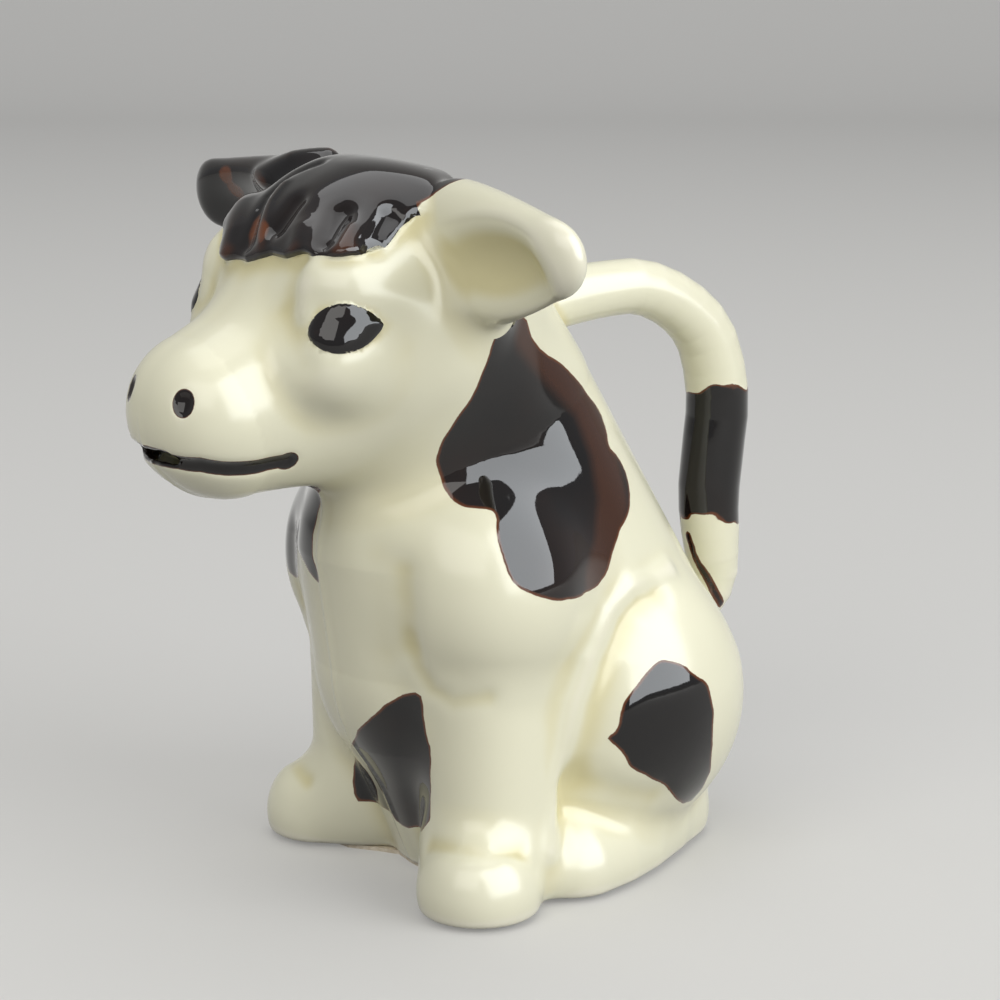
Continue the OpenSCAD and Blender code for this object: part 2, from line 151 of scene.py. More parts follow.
def spline(values, t):
    n = len(values) - 1
    i = min(int(t * n), n - 1)
    u = t * n - i
    a, b, c, d = values[max(i - 1, 0)], values[i], values[i + 1], values[min(i + 2, n)]
    return b + 0.5 * u * (c - a + u * (2 * a - 5 * b + 4 * c - d + u * (3 * (b - c) + d - a)))


tail = {
    "reach": 45.4, "top": 118.0, "low": 40.0, "thick": 13.0, "fillet": 2.4, "rumpY": 25.25, "steps": 24,
    "crownShare": 0.435,                  # share of its thickness that stands above the path at the top
    "near": ((0, 42, 78), (14, 40, 52)),  # the box it lies in: middle and half sizes
    "back": [-0.22, -0.05, 0.204, 0.472, 0.735, 0.915, 0.995, 0.975, 0.947, 0.97, 0.985, 0.84],
    "up": [0.975, 0.99, 1, 0.996, 0.93, 0.826, 0.662, 0.52, 0.367, 0.223, 0.1, -0.02],
    "swell": [0.97, 0.92, 0.87, 0.86, 0.9, 0.96, 1, 1, 0.985, 0.9, 0.7, 0.45],
}


def tailPath():
    high = tail["top"] - tail["thick"] * tail["crownShare"]
    points, radii = [], []
    for i in range(tail["steps"] + 1):
        t = i / tail["steps"]
        points.append((0, tail["rumpY"] + spline(tail["back"], t) * (tail["reach"] - tail["thick"] / 2),
                       tail["low"] + (high - tail["low"]) * spline(tail["up"], t)))
        radii.append(tail["thick"] / 2 * spline(tail["swell"], t))
    return points, radii


tailPoints, tailRadii = tailPath()


def turned(nod, turn):  # nods about X, then turns about Z
    a, b = math.radians(nod), math.radians(turn)
    rx = np.array([[1, 0, 0], [0, math.cos(a), -math.sin(a)], [0, math.sin(a), math.cos(a)]])
    rz = np.array([[math.cos(b), -math.sin(b), 0], [math.sin(b), math.cos(b), 0], [0, 0, 1]])
    return rz @ rx


ear = {
    "root": (24.1, -14.75, 125.9), "long": 36.1, "out": (1, -0.164, 0.124), "droop": {1: 0.5, -1: 0.7},
    "nod": 7.0, "turn": 12.4, "flat": 0.52, "rootRadius": 14.2, "tipRadius": 7.0,
    "taper": 1.2, "ease": 0.05, "fillet": 4.0,
    "dishAt": 0.37, "dishDrop": 0.8, "dishDepth": 3.9, "dish": (23.0, 15.0, 12.5), "dishTilt": 12.0, "rim": 3.4,
    "dishShares": (0.58, 0.42),           # of root and tip in the thickness where the dish lies
    "near": ((44, -18, 126), (32, 24, 24)),
}


def earShape(p, side, dished=True):
    q = p * np.array([side, 1, 1])
    m = turned(ear["nod"], ear["turn"])
    out = np.array(ear["out"], float)
    out[2] -= ear["droop"][side] / ear["long"]
    out = out / np.linalg.norm(out) @ m
    local = (q - np.array(ear["root"])) @ m
    flat = np.array([1, 1 / ear["flat"], 1])
    along = out * flat * ear["long"]
    t = (local * flat) @ along / (along @ along)
    t = np.maximum(t - ear["ease"] * np.logaddexp(0, (t - 1) / ear["ease"]), 0)  # eases into the round tip
    radius = ear["rootRadius"] + (ear["tipRadius"] - ear["rootRadius"]) * t ** ear["taper"]
    skin = (length(local * flat - t[:, None] * along) - radius) * ear["flat"]
    if not dished:
        return skin
    a = math.radians(ear["dishTilt"])
    size = ear["dish"]
    atRoot, atTip = ear["dishShares"]
    thick = ear["flat"] * (ear["rootRadius"] * atRoot + ear["tipRadius"] * atTip)
    c = local - out * ear["long"] * ear["dishAt"]
    c = c - np.array([0, ear["dishDepth"] - thick - size[1], -ear["dishDrop"]])
    leaning = np.stack([c[:, 0], c[:, 1] * math.cos(a) - c[:, 2] * math.sin(a),
                        c[:, 1] * math.sin(a) + c[:, 2] * math.cos(a)], 1)
    return carve(skin, lobe(leaning, (0, 0, 0), size), ear["rim"])


forelock = {  # hem: height of the lower edge, by degrees round the skull
    "over": 1.5, "behind": -10.55, "rise": 20.9, "tilt": 36.0, "rounding": 1.4, "fillet": 1.7,
    "near": ((0, -22, 132), (36, 36, 22)),
    "hemTurn": [-113, -86, -73, -65, -56, -40, -28, -21, -12, -2, 5, 12,
                21, 28, 36, 42, 48, 54, 59, 65, 73, 86, 113],
    "hem": [138.3, 136.8, 136.0, 135.2, 134.0, 131.5, 127.6, 124.4, 125.0, 124.6, 125.6, 126.6,
            126.4, 127.3, 127.9, 127.9, 128.3, 127.8, 128.7, 131.6, 134.4, 136.4, 138.3],
}


def forelockShape(p):  # follows the skull and brows a little way off
    skull = head["skull"][1]
    d = headShape(halves(p)) - forelock["over"]
    turn = np.degrees(np.arctan2(p[:, 0], -(p[:, 1] - skull[0][1])))
    edge, after, ahead = [np.interp(turn + by, forelock["hemTurn"], forelock["hem"]) for by in (0, 3, -3)]
    rise = after - ahead
    around = np.maximum(np.hypot(p[:, 0], p[:, 1] - skull[0][1]), 8) * math.radians(6)
    below = (p[:, 2] - edge) / np.sqrt(1 + (rise / around) ** 2)
    a = math.radians(forelock["tilt"])
    centre = np.array([0, forelock["behind"], skull[0][2]])
    behind = (p - centre) @ np.array([0, -math.sin(a), math.cos(a)]) - forelock["rise"]
    d = carve(d, below, forelock["rounding"])
    return carve(d, behind, forelock["rounding"])


def nearEar(p, side, far=20.0):
    middle, reach = ear["near"]
    return close(p, np.array([side, 1, 1]) * middle, reach, lambda x: earShape(x, side), far)


def tailShape(p):
    return chain(p, tailPoints, tailRadii)


foreFeet = {"from": (20.0, -9.8, 9.6), "to": (26.5, -15.2, 4.8), "radius": 12.0, "fillet": 4.0}
hindFeet = {
    "points": [(24.2, 7.3, 4.8), (22.4, 14.6, 4.8), (19.2, 22.3, 4.8), (14.2, 31.5, 5.0), (8.2, 39.9, 5.4)],
    "radius": 11.0, "fillet": 4.5,
}


def feetShape(q):
    a = limb(q, foreFeet["from"], foreFeet["to"], foreFeet["radius"], foreFeet["radius"])
    b = chain(q, hindFeet["points"], [hindFeet["radius"]] * len(hindFeet["points"]))
    return a, b


def lineDistance(p, points):
    return chain(p, points, [0.0] * len(points))


def relief(p, lines):
    total = np.zeros(len(p))
    for line in lines.values():
        pts, w = line["points"], line["width"]
        reach = 2.6 * w  # where the groove has faded out
        inside = ((p > pts.min(0) - reach) & (p < pts.max(0) + reach)).all(1)
        if inside.any():
            total[inside] += line["depth"] * np.exp(-(lineDistance(p[inside], pts) / w) ** 2)
    return total


neckPlane = {"through": (0, -38.75, 70.0), "tilt": 28.0, "fillet": 10.0, "middle": (0, -4.85, 88.05)}


def restField(p, feet=True):  # trunk, head and feet, with no ears, tail, hair or modelling
    q = halves(p)
    d = build(q, trunk)
    if feet:
        a, b = feetShape(q)
        d = melt(melt(d, a, foreFeet["fillet"]), b, hindFeet["fillet"])
    return melt(d, headShape(q), neckPlane["fillet"])


def plainField(p):
    d = restField(p)
    for side in (1, -1):
        d = melt(d, nearEar(p, side), ear["fillet"])
    d = melt(d, close(p, *tail["near"], tailShape), tail["fillet"])
    return melt(d, close(p, *forelock["near"], forelockShape), forelock["fillet"])


def gradient(p, field, h=0.12):
    g = np.zeros_like(p)
    for axis in range(3):
        step = np.zeros(3)
        step[axis] = h
        g[:, axis] = (field(p + step) - field(p - step)) / (2 * h)
    return g


march = {  # strides of the rays from the camera to the skin
    "before": 115, "steps": 90, "back": -1, "longest": 12, "share": 0.85, "miss": 0.3,
}


def photoPoints(pixels, field):  # where the camera's rays meet the skin
    px = np.array(pixels, float)
    across, down = (px[:, :1] - 500) / photoView["focal"], (px[:, 1:] - 500) / photoView["focal"]
    rays = viewRight * across - viewUp * down - viewBack
    rays /= length(rays)[:, None]
    p = eyePoint + rays * (photoView["distance"] - march["before"])
    best, bestAt = np.full(len(p), 1e9), p.copy()
    for _ in range(march["steps"]):
        d = field(p)
        better = d < best
        best[better], bestAt[better] = d[better], p[better]
        stride = np.clip(d, march["back"], march["longest"])
        p = p + rays * stride[:, None] * march["share"]
    missed = best > march["miss"]
    for _ in range(3):  # rays that pass the outline go to the nearest skin
        g = gradient(bestAt, field)
        bestAt = bestAt - g * (field(bestAt) / np.maximum((g * g).sum(1), 0.2))[:, None]
    if missed.any():
        print("  outline points beyond the skin:", int(missed.sum()))
    return bestAt


# soft grooves and ridges (depth below zero), drawn over the photograph
modelling = {
    "elbowFold": {"line": [(408, 640), (418, 668), (432, 690), (453, 702), (487, 699)], "width": 2.3, "depth": 0.38},
    "breastFold": {"line": [(402, 575), (405, 610), (408, 645)], "width": 3.6, "depth": 0.9},
    "breastDip": {"line": [(378, 560), (383, 600), (388, 650)], "width": 4.5, "depth": 0.5},
    "flankRidge": {"line": [(668, 570), (632, 588), (612, 613), (591, 661), (576, 702), (564, 753), (553, 803),
                            (549, 850)], "width": 2.6, "depth": -0.9},
    "flankHollow": {"line": [(655, 592), (632, 612), (612, 655), (598, 705), (584, 752), (577, 782)],
                    "width": 4.6, "depth": 1.3},
    "slabHollow": {"line": [(580, 782), (612, 792), (650, 798)], "width": 4.0, "depth": 0.9},
    "footFold": {"line": [(431, 845), (456, 851), (490, 856), (520, 853)], "width": 2.2, "depth": 0.5},
    "browFold": {"line": [(300, 262), (291, 285), (288, 310), (294, 338), (304, 362)], "width": 3.0, "depth": 0.6},
    "browRidge": {"line": [(310, 268), (304, 290), (302, 312)], "width": 2.6, "depth": -0.5},
    "mouth": {"line": [(160, 458), (200, 466), (235, 470), (262, 467), (288, 462)], "width": 1.5, "depth": 0.95},
}
locks = {  # hair of the forelock
    "parting": {"line": [(330, 152), (292, 160), (262, 178), (243, 205), (233, 232), (229, 250)],
                "width": 2.6, "depth": -1.3},
    "partingFold": {"line": [(318, 162), (290, 174), (268, 194), (254, 222), (247, 244)],
                    "width": 1.6, "depth": 0.9},
    "strand": {"line": [(284, 184), (270, 202), (264, 224), (262, 242)], "width": 1.5, "depth": -0.5},
    "dentFar": {"line": [(277, 226), (286, 213), (295, 201)], "width": 2.1, "depth": 1.6},
    "dentMid": {"line": [(326, 238), (334, 225), (342, 211)], "width": 2.1, "depth": 1.6},
    "dentNear": {"line": [(374, 242), (382, 228), (390, 214)], "width": 2.2, "depth": 1.6},
    "lockFar": {"line": [(300, 226), (294, 246)], "width": 2.0, "depth": -0.4},
    "lockMid": {"line": [(349, 226), (343, 246)], "width": 2.0, "depth": -0.4},
}

hairFrom = {"above": 118, "before": 2}  # the locks are worked out only here
for group in (modelling, locks):
    for line in group.values():
        line["points"] = photoPoints(line["line"], plainField)
for line in modelling.values():  # the same on both sides, the hair is not
    line["points"][:, 0] = np.abs(line["points"][:, 0])
print("modelled lines placed:", len(modelling) + len(locks))


def outlineDistance(uv, poly):  # signed distance to a closed outline, negative inside
    best = np.full(len(uv), 1e9)
    inside = np.zeros(len(uv), bool)
    for i in range(len(poly)):
        a, b = poly[i], poly[(i + 1) % len(poly)]
        e, w = b - a, uv - a
        t = np.clip(w @ e / (e @ e), 0, 1)
        best = np.minimum(best, length(w - t[:, None] * e))
        if a[1] != b[1]:
            cross = (a[1] > uv[:, 1]) != (b[1] > uv[:, 1])
            inside ^= cross & (uv[:, 0] < (b[0] - a[0]) * (uv[:, 1] - a[1]) / (b[1] - a[1]) + a[0])
    return np.where(inside, -best, best)


def rounded(points, times=2):  # rounds the corners of a closed outline
    p = np.array(points, float)
    for _ in range(times):
        n = np.roll(p, -1, axis=0)
        p = np.stack([p * 0.75 + n * 0.25, p * 0.25 + n * 0.75], 1).reshape(-1, p.shape[1])
    return p


def planeOf(points, field):
    normal = gradient(points, field).mean(0)
    normal /= np.linalg.norm(normal)
    u = np.cross([0, 0, 1.0], normal)
    u /= np.linalg.norm(u)
    return points.mean(0), u, np.cross(normal, u), normal


eyes = {  # almond, as seen in the photograph
    "outline": [(306, 335), (311, 320), (322, 309), (338, 303), (354, 304), (370, 311), (386, 323),
                (379, 334), (366, 347), (348, 354), (330, 354), (314, 346)],
    "rise": 0.8, "slope": 2.2, "reach": (14, 14, 14), "deep": 9,
    "near": ((0, -35, 112), (40, 25, 18)),
}
eyeOutline = rounded(photoPoints(eyes["outline"], plainField), 2)
eyeCentre, eyeU, eyeV, eyeNormal = planeOf(eyeOutline, plainField)
eyeFlat = np.stack([(eyeOutline - eyeCentre) @ eyeU, (eyeOutline - eyeCentre) @ eyeV], 1)


def eyeDistance(p):
    q = np.stack([np.abs(p[:, 0]), p[:, 1], p[:, 2]], 1) - eyeCentre

    def flat(x):
        d = outlineDistance(np.stack([x @ eyeU, x @ eyeV], 1), eyeFlat)
        return np.where(np.abs(x @ eyeNormal) < eyes["deep"], d, 9.0)
    return close(q, (0, 0, 0), eyes["reach"], flat, 9.0)


nostrils = {  # near and far: the way to each from the middle of the muzzle
    "from": (0, -55.75, 97.5), "near": (0.665, -0.69, 0.284), "far": (-0.44, -0.85, 0.33), "start": 14.0,
    "radius": 2.2, "tall": 0.8, "deep": 0.9, "steep": 3.2, "edge": 0.7,
}
nostrilPlaces = []
for out in (nostrils["near"], nostrils["far"]):
    out = np.array(out) / np.linalg.norm(out)
    at = np.array(nostrils["from"]) + out * nostrils["start"]
    for _ in range(8):
        at = at - out * plainField(at[None])[0]
    nostrilPlaces.append(at)


def nostrilDistance(p):
    shape = np.array([1, 1, nostrils["tall"]])
    return np.minimum.reduce([length((p - at) * shape) for at in nostrilPlaces]) - nostrils["radius"]


seam = {"height": 0.3, "width": 0.75, "before": 2, "below": 100, "fade": 8}  # of the mould, down the chest
floorCut = {"height": 0.8, "rounding": 1.2}


def skinField(p):
    d = plainField(p)
    q = np.stack([np.abs(p[:, 0]), p[:, 1], p[:, 2]], 1)
    d = d + relief(q, modelling)
    hair = (p[:, 2] > hairFrom["above"]) & (p[:, 1] < hairFrom["before"])
    if hair.any():
        d[hair] += relief(p[hair], locks)
    e = close(p, *eyes["near"], eyeDistance, 9.0)
    d = d - eyes["rise"] * np.sqrt(np.clip(-e / eyes["slope"], 0, 1))
    d = d + nostrils["deep"] / (1 + np.exp(nostrils["steep"] * (nostrilDistance(p) + nostrils["edge"])))
    front = np.clip((seam["before"] - p[:, 1]) / seam["fade"], 0, 1)
    front = front * np.clip((seam["below"] - p[:, 2]) / seam["fade"], 0, 1)
    d = d - seam["height"] * front * np.exp(-(p[:, 0] / seam["width"]) ** 2)
    return carve(d, p[:, 2] - floorCut["height"], floorCut["rounding"])


wall = {"thickness": 4.0, "floor": 5.3, "corner": 2.0, "rim": 1.0}
filler = {"centre": (0, -17.75, 113.0), "width": 30.0, "length": 24.0, "rim": 2.6}
slit = {"width": 14.0, "gap": 2.2, "height": 91.0, "before": -38, "rounding": 0.8}  # where the cream comes out


def liningField(p):
    q = halves(p)
    d = melt(build(q, hollow), headShape(q), neckPlane["fillet"]) + wall["thickness"]
    return carve(d, p[:, 2] - wall["floor"], wall["corner"])


def openings(p):
    q = p - np.array(filler["centre"])
    slant = 0.70711  # it lies at 45 degrees, up and to the back
    v, w = (q[:, 1] - q[:, 2]) * slant, (q[:, 1] + q[:, 2]) * slant
    d = (np.sqrt((q[:, 0] / filler["width"] * 2) ** 2 + (v / filler["length"] * 2) ** 2) - 1) * filler["length"] / 2
    d = np.maximum(d, -w)
    x = np.maximum(np.abs(p[:, 0]) - (slit["width"] - slit["gap"]) / 2, 0)
    s = np.sqrt(x ** 2 + (p[:, 2] - slit["height"]) ** 2) - slit["gap"] / 2
    return d, np.maximum(s, p[:, 1] - slit["before"])


def solidField(p):
    hole, cut = openings(p)
    d = carve(skinField(p), liningField(p), wall["rim"])
    return carve(carve(d, hole, filler["rim"]), cut, slit["rounding"])


# A net over the skin.
net = {"step": 0.8, "low": (-69, -72, -1), "high": (69, 72, 147)}


def inChunks(field, p, size=150000):
    return np.concatenate([field(p[i:i + size]) for i in range(0, len(p), size)])


def weaveNet(field):  # one point in each cell that the skin passes, first looked for in blocks of 4
    h, lo = net["step"], np.array(net["low"], float)
    blocks = np.ceil((np.array(net["high"]) - lo) / (4 * h)).astype(int)
    n = blocks * 4 + 1
    at = np.stack(np.meshgrid(*[np.arange(b) for b in blocks], indexing="ij"), -1).reshape(-1, 3)
    middle = inChunks(field, lo + (at * 4 + 2) * h).reshape(blocks)
    near = np.abs(middle) < 4.6 * h + 1.6
    values = np.full(n, 9.0, np.float32)
    values[:-1, :-1, :-1] = np.where(middle < 0, -9, 9).repeat(4, 0).repeat(4, 1).repeat(4, 2)
    wanted = np.zeros(n, bool)
    wide = near.repeat(4, 0).repeat(4, 1).repeat(4, 2)
    for dx in (0, 1):
        for dy in (0, 1):
            for dz in (0, 1):
                wanted[dx:n[0] - 1 + dx, dy:n[1] - 1 + dy, dz:n[2] - 1 + dz] |= wide
    where = np.argwhere(wanted)
    values[wanted] = inChunks(field, lo + where * h).astype(np.float32)
    inside = values < 0
    corners = [inside[dx:n[0] - 1 + dx, dy:n[1] - 1 + dy, dz:n[2] - 1 + dz]
               for dx in (0, 1) for dy in (0, 1) for dz in (0, 1)]
    count = sum(c.astype(np.int8) for c in corners)
    cells = (count > 0) & (count < 8)
    number = np.full(cells.shape, -1, np.int32)
    number[cells] = np.arange(cells.sum())
    base = np.argwhere(cells)
    total, hits = np.zeros((len(base), 3)), np.zeros(len(base))
    for axis in range(3):
        for a in (0, 1):
            for b in (0, 1):
                first = base.copy()
                others = [k for k in range(3) if k != axis]
                first[:, others[0]] += a
                first[:, others[1]] += b
                second = first.copy()
                second[:, axis] += 1
                va, vb = values[tuple(first.T)], values[tuple(second.T)]
                cut = (va < 0) != (vb < 0)
                t = np.where(cut, va / np.where(cut, va - vb, 1), 0)
                spot = first.astype(float)
                spot[:, axis] += t
                total[cut] += spot[cut]
                hits[cut] += 1
    points = lo + total / hits[:, None] * h
    quads = []
    for axis in range(3):
        o1, o2 = (axis + 1) % 3, (axis + 2) % 3
        a = inside.take(range(n[axis] - 1), axis)
        b = inside.take(range(1, n[axis]), axis)
        edges = np.argwhere(a != b)
        e1, e2 = edges[:, o1], edges[:, o2]
        edges = edges[(e1 > 0) & (e2 > 0) & (e1 < n[o1] - 1) & (e2 < n[o2] - 1)]
        flip = b[tuple(edges.T)]
        ids = []
        for s1, s2 in ((0, 0), (1, 0), (1, 1), (0, 1)):
            c = edges.copy()
            c[:, o1] -= s1
            c[:, o2] -= s2
            ids.append(number[tuple(c.T)])
        quad = np.stack(ids, 1)
        quad[flip] = quad[flip][:, ::-1]
        quads.append(quad)
    quads = np.concatenate(quads)
    a, b, c, d = [points[quads[:, k]] for k in range(4)]
    shortA = length(a - c) < length(b - d)
    tris = np.concatenate([quads[shortA][:, [0, 1, 2]], quads[shortA][:, [0, 2, 3]],
                           quads[~shortA][:, [0, 1, 3]], quads[~shortA][:, [1, 2, 3]]])
    return points, tris


def settle(points, field, times=3):  # moves the net's points onto the skin
    for _ in range(times):
        g = inChunks(lambda x: gradient(x, field), points)
        move = g * (inChunks(field, points) / np.maximum((g * g).sum(1), 0.15))[:, None]
        points = points - np.clip(move, -0.5, 0.5)
    return points


skinPoints, skinTris = weaveNet(solidField)
skinPoints = settle(skinPoints, solidField)
print("skin:", len(skinPoints), "points,", len(skinTris), "triangles")

# The skin is divided into its pieces, each closed where it is luted on.


def divide(points, tris, g):  # cuts the triangles along g = 0
    g = np.where(np.abs(g) < 1e-5, 1e-5, g)
    side = g[tris] < 0
    count = side.sum(1)
    part = (count > 0) & (count < 3)
    m, s = tris[part], side[part]
    row = np.arange(len(m))
    lone = np.where(s.sum(1) == 1, s.argmax(1), (~s).argmax(1))
    a, b, c = m[row, lone], m[row, (lone + 1) % 3], m[row, (lone + 2) % 3]
    pairs = np.sort(np.concatenate([np.stack([a, b], 1), np.stack([a, c], 1)]), 1)
    unique, back = np.unique(pairs, axis=0, return_inverse=True)
    back = back.reshape(-1) + len(points)
    ga, gb = g[unique[:, 0]], g[unique[:, 1]]
    t = (ga / (ga - gb))[:, None]
    points = np.concatenate([points, points[unique[:, 0]] * (1 - t) + points[unique[:, 1]] * t])
    ab, ac = back[:len(m)], back[len(m):]
    tip = np.stack([a, ab, ac], 1)
    stump = np.concatenate([np.stack([ab, b, c], 1), np.stack([ab, c, ac], 1)])
    tipIn = s[row, lone]
    stumpIn = np.concatenate([~tipIn, ~tipIn])
    inner = np.concatenate([tris[count == 3], tip[tipIn], stump[stumpIn]])
    outer = np.concatenate([tris[count == 0], tip[~tipIn], stump[~stumpIn]])
    return points, inner, outer


def rims(tris, total):  # the open edges of a surface, as loops of points
    e = np.concatenate([tris[:, [0, 1]], tris[:, [1, 2]], tris[:, [2, 0]]]).astype(np.int64)
    free = e[~np.isin(e[:, 0] * total + e[:, 1], e[:, 1] * total + e[:, 0])]
    after = {}
    for a, b in free:
        after.setdefault(int(a), []).append(int(b))
    loops = []
    while after:
        start = next(iter(after))
        loop, at = [start], start
        while at in after:
            nxt = after[at].pop()
            if not after[at]:
                del after[at]
            if nxt == start:
                break
            loop.append(nxt)
            at = nxt
        loops.append(loop)
    return loops


def takeOff(points, tris, g, floor=None):  # returns points, the closed piece, the closed rest
    points, piece, rest = divide(points, tris, g)
    total = len(points)
    if floor is None:
        for loop in rims(piece, total):
            a, b = np.array(loop), np.roll(loop, -1)
            centre = np.full(len(a), len(points))
            points = np.concatenate([points, points[a].mean(0)[None]])
            piece = np.concatenate([piece, np.stack([b, a, centre], 1)])
            rest = np.concatenate([rest, np.stack([a, b, centre], 1)])
        return points, piece, rest
    used = np.unique(piece)  # this piece sits on the floor that is given
    under = points[used]
    for _ in range(5):
        g = gradient(under, floor)
        under = under - g * (floor(under) / np.maximum((g * g).sum(1), 0.2))[:, None]
    copy = np.full(total, -1)
    copy[used] = np.arange(len(used)) + total
    points = np.concatenate([points, under])
    loops = rims(piece, total)
    below = copy[piece]
    sides = []
    for loop in loops:
        a, b = np.array(loop), np.roll(loop, -1)
        sides += [np.stack([b, a, copy[a]], 1), np.stack([b, copy[a], copy[b]], 1)]
    sides = np.concatenate(sides)
    return points, np.concatenate([piece, below[:, ::-1], sides]), np.concatenate([rest, below, sides[:, ::-1]])


def bridge(points, tris, normal, centre):  # closes the ring-shaped joint between skin and lining
    loops = sorted(rims(tris, len(points)), key=len)[-2:]
    u = np.cross(normal, [1.0, 0, 0])
    u /= np.linalg.norm(u)
    v = np.cross(normal, u)
    rings = []
    for loop in loops:
        q = points[loop] - centre
        angle = np.arctan2(q @ v, q @ u)
        order = np.argsort(angle)
        rings.append((np.array(loop)[order], angle[order]))
    (ra, aa), (rb, ab) = rings
    i = j = 0
    out = []
    while i < len(ra) or j < len(rb):
        if j >= len(rb) or (i < len(ra) and aa[i] <= ab[j]):
            out.append((ra[i], ra[(i + 1) % len(ra)], rb[j % len(rb)]))
            i += 1
        else:
            out.append((rb[j], ra[i % len(ra)], rb[(j + 1) % len(rb)]))
            j += 1
    out = np.array(out)
    n = np.cross(points[out[:, 1]] - points[out[:, 0]], points[out[:, 2]] - points[out[:, 0]]) @ normal
    out[n < 0] = out[n < 0][:, ::-1]
    return np.concatenate([tris, out])


def onSkin(p, g, clear=1.5):  # keeps a cut away from the lining of the cavity
    return np.maximum(g, clear - inChunks(liningField, p))


def sided(p, side, g):
    return np.where(p[:, 0] * side > 0, g, 5.0)


pieces = {}
farAway = 200.0
pts, rest = skinPoints, skinTris
bare = lambda p: inChunks(restField, p)
legs = lambda p: inChunks(lambda x: restField(x, False), p)
g = close(pts, *tail["near"], tailShape, farAway) - bare(pts)
pts, pieces["tail"], rest = takeOff(pts, rest, onSkin(pts, g))
for name, side in (("leftEar", 1), ("rightEar", -1)):
    g = nearEar(pts, side, farAway) - bare(pts)
    pts, pieces[name], rest = takeOff(pts, rest, onSkin(pts, sided(pts, side, g)))
for name, side in (("leftEye", 1), ("rightEye", -1)):
    pts, pieces[name], rest = takeOff(pts, rest, onSkin(pts, sided(pts, side, eyeDistance(pts))))
for name, side, which in (("leftForefoot", 1, 0), ("rightForefoot", -1, 0),
                          ("leftHindFoot", 1, 1), ("rightHindFoot", -1, 1)):
    g = feetShape(halves(pts))[which] - legs(pts)
    pts, pieces[name], rest = takeOff(pts, rest, onSkin(pts, sided(pts, side, g)))
g = close(pts, *forelock["near"], forelockShape, farAway) - bare(pts)
pts, pieces["hair"], rest = takeOff(pts, rest, onSkin(pts, g), restField)
tilt = math.radians(neckPlane["tilt"])
neckNormal = np.array([0, -math.sin(tilt), math.cos(tilt)])
g = -((pts - np.array(neckPlane["through"])) @ neckNormal)
pts, upper, lower = divide(pts, rest, g)
neckMiddle = np.array(neckPlane["middle"])
pieces["headShell"] = bridge(pts, upper, -neckNormal, neckMiddle)
pieces["bodyShell"] = bridge(pts, lower, neckNormal, neckMiddle)
print("pieces:", {k: len(v) for k, v in pieces.items()})

# Black glaze painted over the ivory, outlined over the photograph in its pixels.
patches = {
    "shoulder": {"outline": [
        (492, 330), (500, 316), (525, 312), (534, 345), (556, 360), (571, 372), (584, 389), (600, 410), (607, 431),
        (608, 447), (618, 456), (627, 475), (631, 501), (626, 520), (618, 536), (610, 561), (603, 582), (584, 595),
        (565, 601), (552, 599), (530, 595), (517, 587), (504, 568), (498, 545), (496, 528), (497, 517), (491, 509),
        (472, 509), (459, 505), (447, 493), (439, 472), (436, 459), (439, 445), (453, 424), (472, 395),
        (482, 373), (490, 348)]},
    "inner leg": {"outline": [
        (360, 727), (395, 697), (421, 690), (424, 712), (427, 738), (432, 750), (430, 790), (428, 831), (413, 830),
        (398, 823), (392, 811), (361, 804), (352, 790), (352, 760), (354, 741)]},
    "haunch": {"outline": [
        (666, 660), (683, 664), (693, 674), (706, 681), (713, 702), (713, 725), (712, 746), (708, 780), (685, 807),
        (669, 793), (666, 784), (650, 778), (632, 770), (624, 754), (609, 741), (610, 737), (618, 732), (622, 709),
        (634, 689), (645, 674), (657, 662)]},
}
farNeck = {"at": (-14.0, -29.0, 68.0), "n": (-0.3, -0.954, 0.0), "outline": [  # in millimetres on its plane
    (19, 15), (12, 9), (12, 0), (14.5, -7), (12, -6.5), (7, -3), (1, -2), (-3, -7), (-7, -11.5), (-14, -10),
    (-19, -3), (-18, 6), (-10, 13), (4, 17)]}


def patchPlane(outline):  # on the trunk, also where the ear hangs over it
    points = photoPoints(outline, restField)
    c, u, v, n = planeOf(points, restField)
    return {"at": c, "u": u, "v": v, "n": n,
            "poly": rounded(np.stack([(points - c) @ u, (points - c) @ v], 1), 1)}


planes = {name: patchPlane(patch["outline"]) for name, patch in patches.items()}
n = np.array(farNeck["n"])
planes["far neck"] = {
    "at": np.array(farNeck["at"]), "u": np.array([-n[1], n[0], 0]), "v": np.array([0, 0, 1.0]), "n": n,
    "poly": rounded(farNeck["outline"], 1),
}
copies = {  # the far side isn't in the photograph: its patches are turned copies
    "far haunch": {"of": "haunch", "move": (2, -6, 6), "grow": 1.1},
    "far shoulder": {"of": "shoulder", "move": (4, 3, -9), "grow": 0.8},
}
blackPieces = ("hair", "rightEar", "leftEye", "rightEye")
amber = {  # brown where the black of the hair is thin along the parting, and painted orange reflections on the far ear
    "beside": ("partingFold", "strand"), "reach": 0.6, "below": 131.0, "spot": 1.7,
    "glints": [(226, 176), (236, 190)],
}
paintedGlints = photoPoints(amber["glints"], plainField)
earRoot = {"line": [(470, 172), (456, 181), (437, 192), (424, 202), (413, 214), (409, 232)]}
rootLine = photoPoints(earRoot["line"], plainField)
backPatch = {"centre": (-9.0, 56.0, 66.0), "radii": (13.0, 12.0, 19.0)}
tailBand = {"top": 89.5, "bottom": 61.5, "behind": 50}
lipLine = {"thick": 1.75, "end": 2.2, "slit": 8}
rootCrack = {"line": [(688, 535), (693, 552), (703, 572), (712, 586), (721, 604)], "thick": 0.9}
crackPoints = photoPoints(rootCrack["line"], plainField)
warm = {  # brown along the back edge of the shoulder patch
    "line": [(528, 330), (552, 362), (584, 400), (604, 450), (614, 500), (608, 548), (596, 580)],
    "reach": 4.4, "fade": 2.6,
}
warmPoints = photoPoints(warm["line"], plainField)


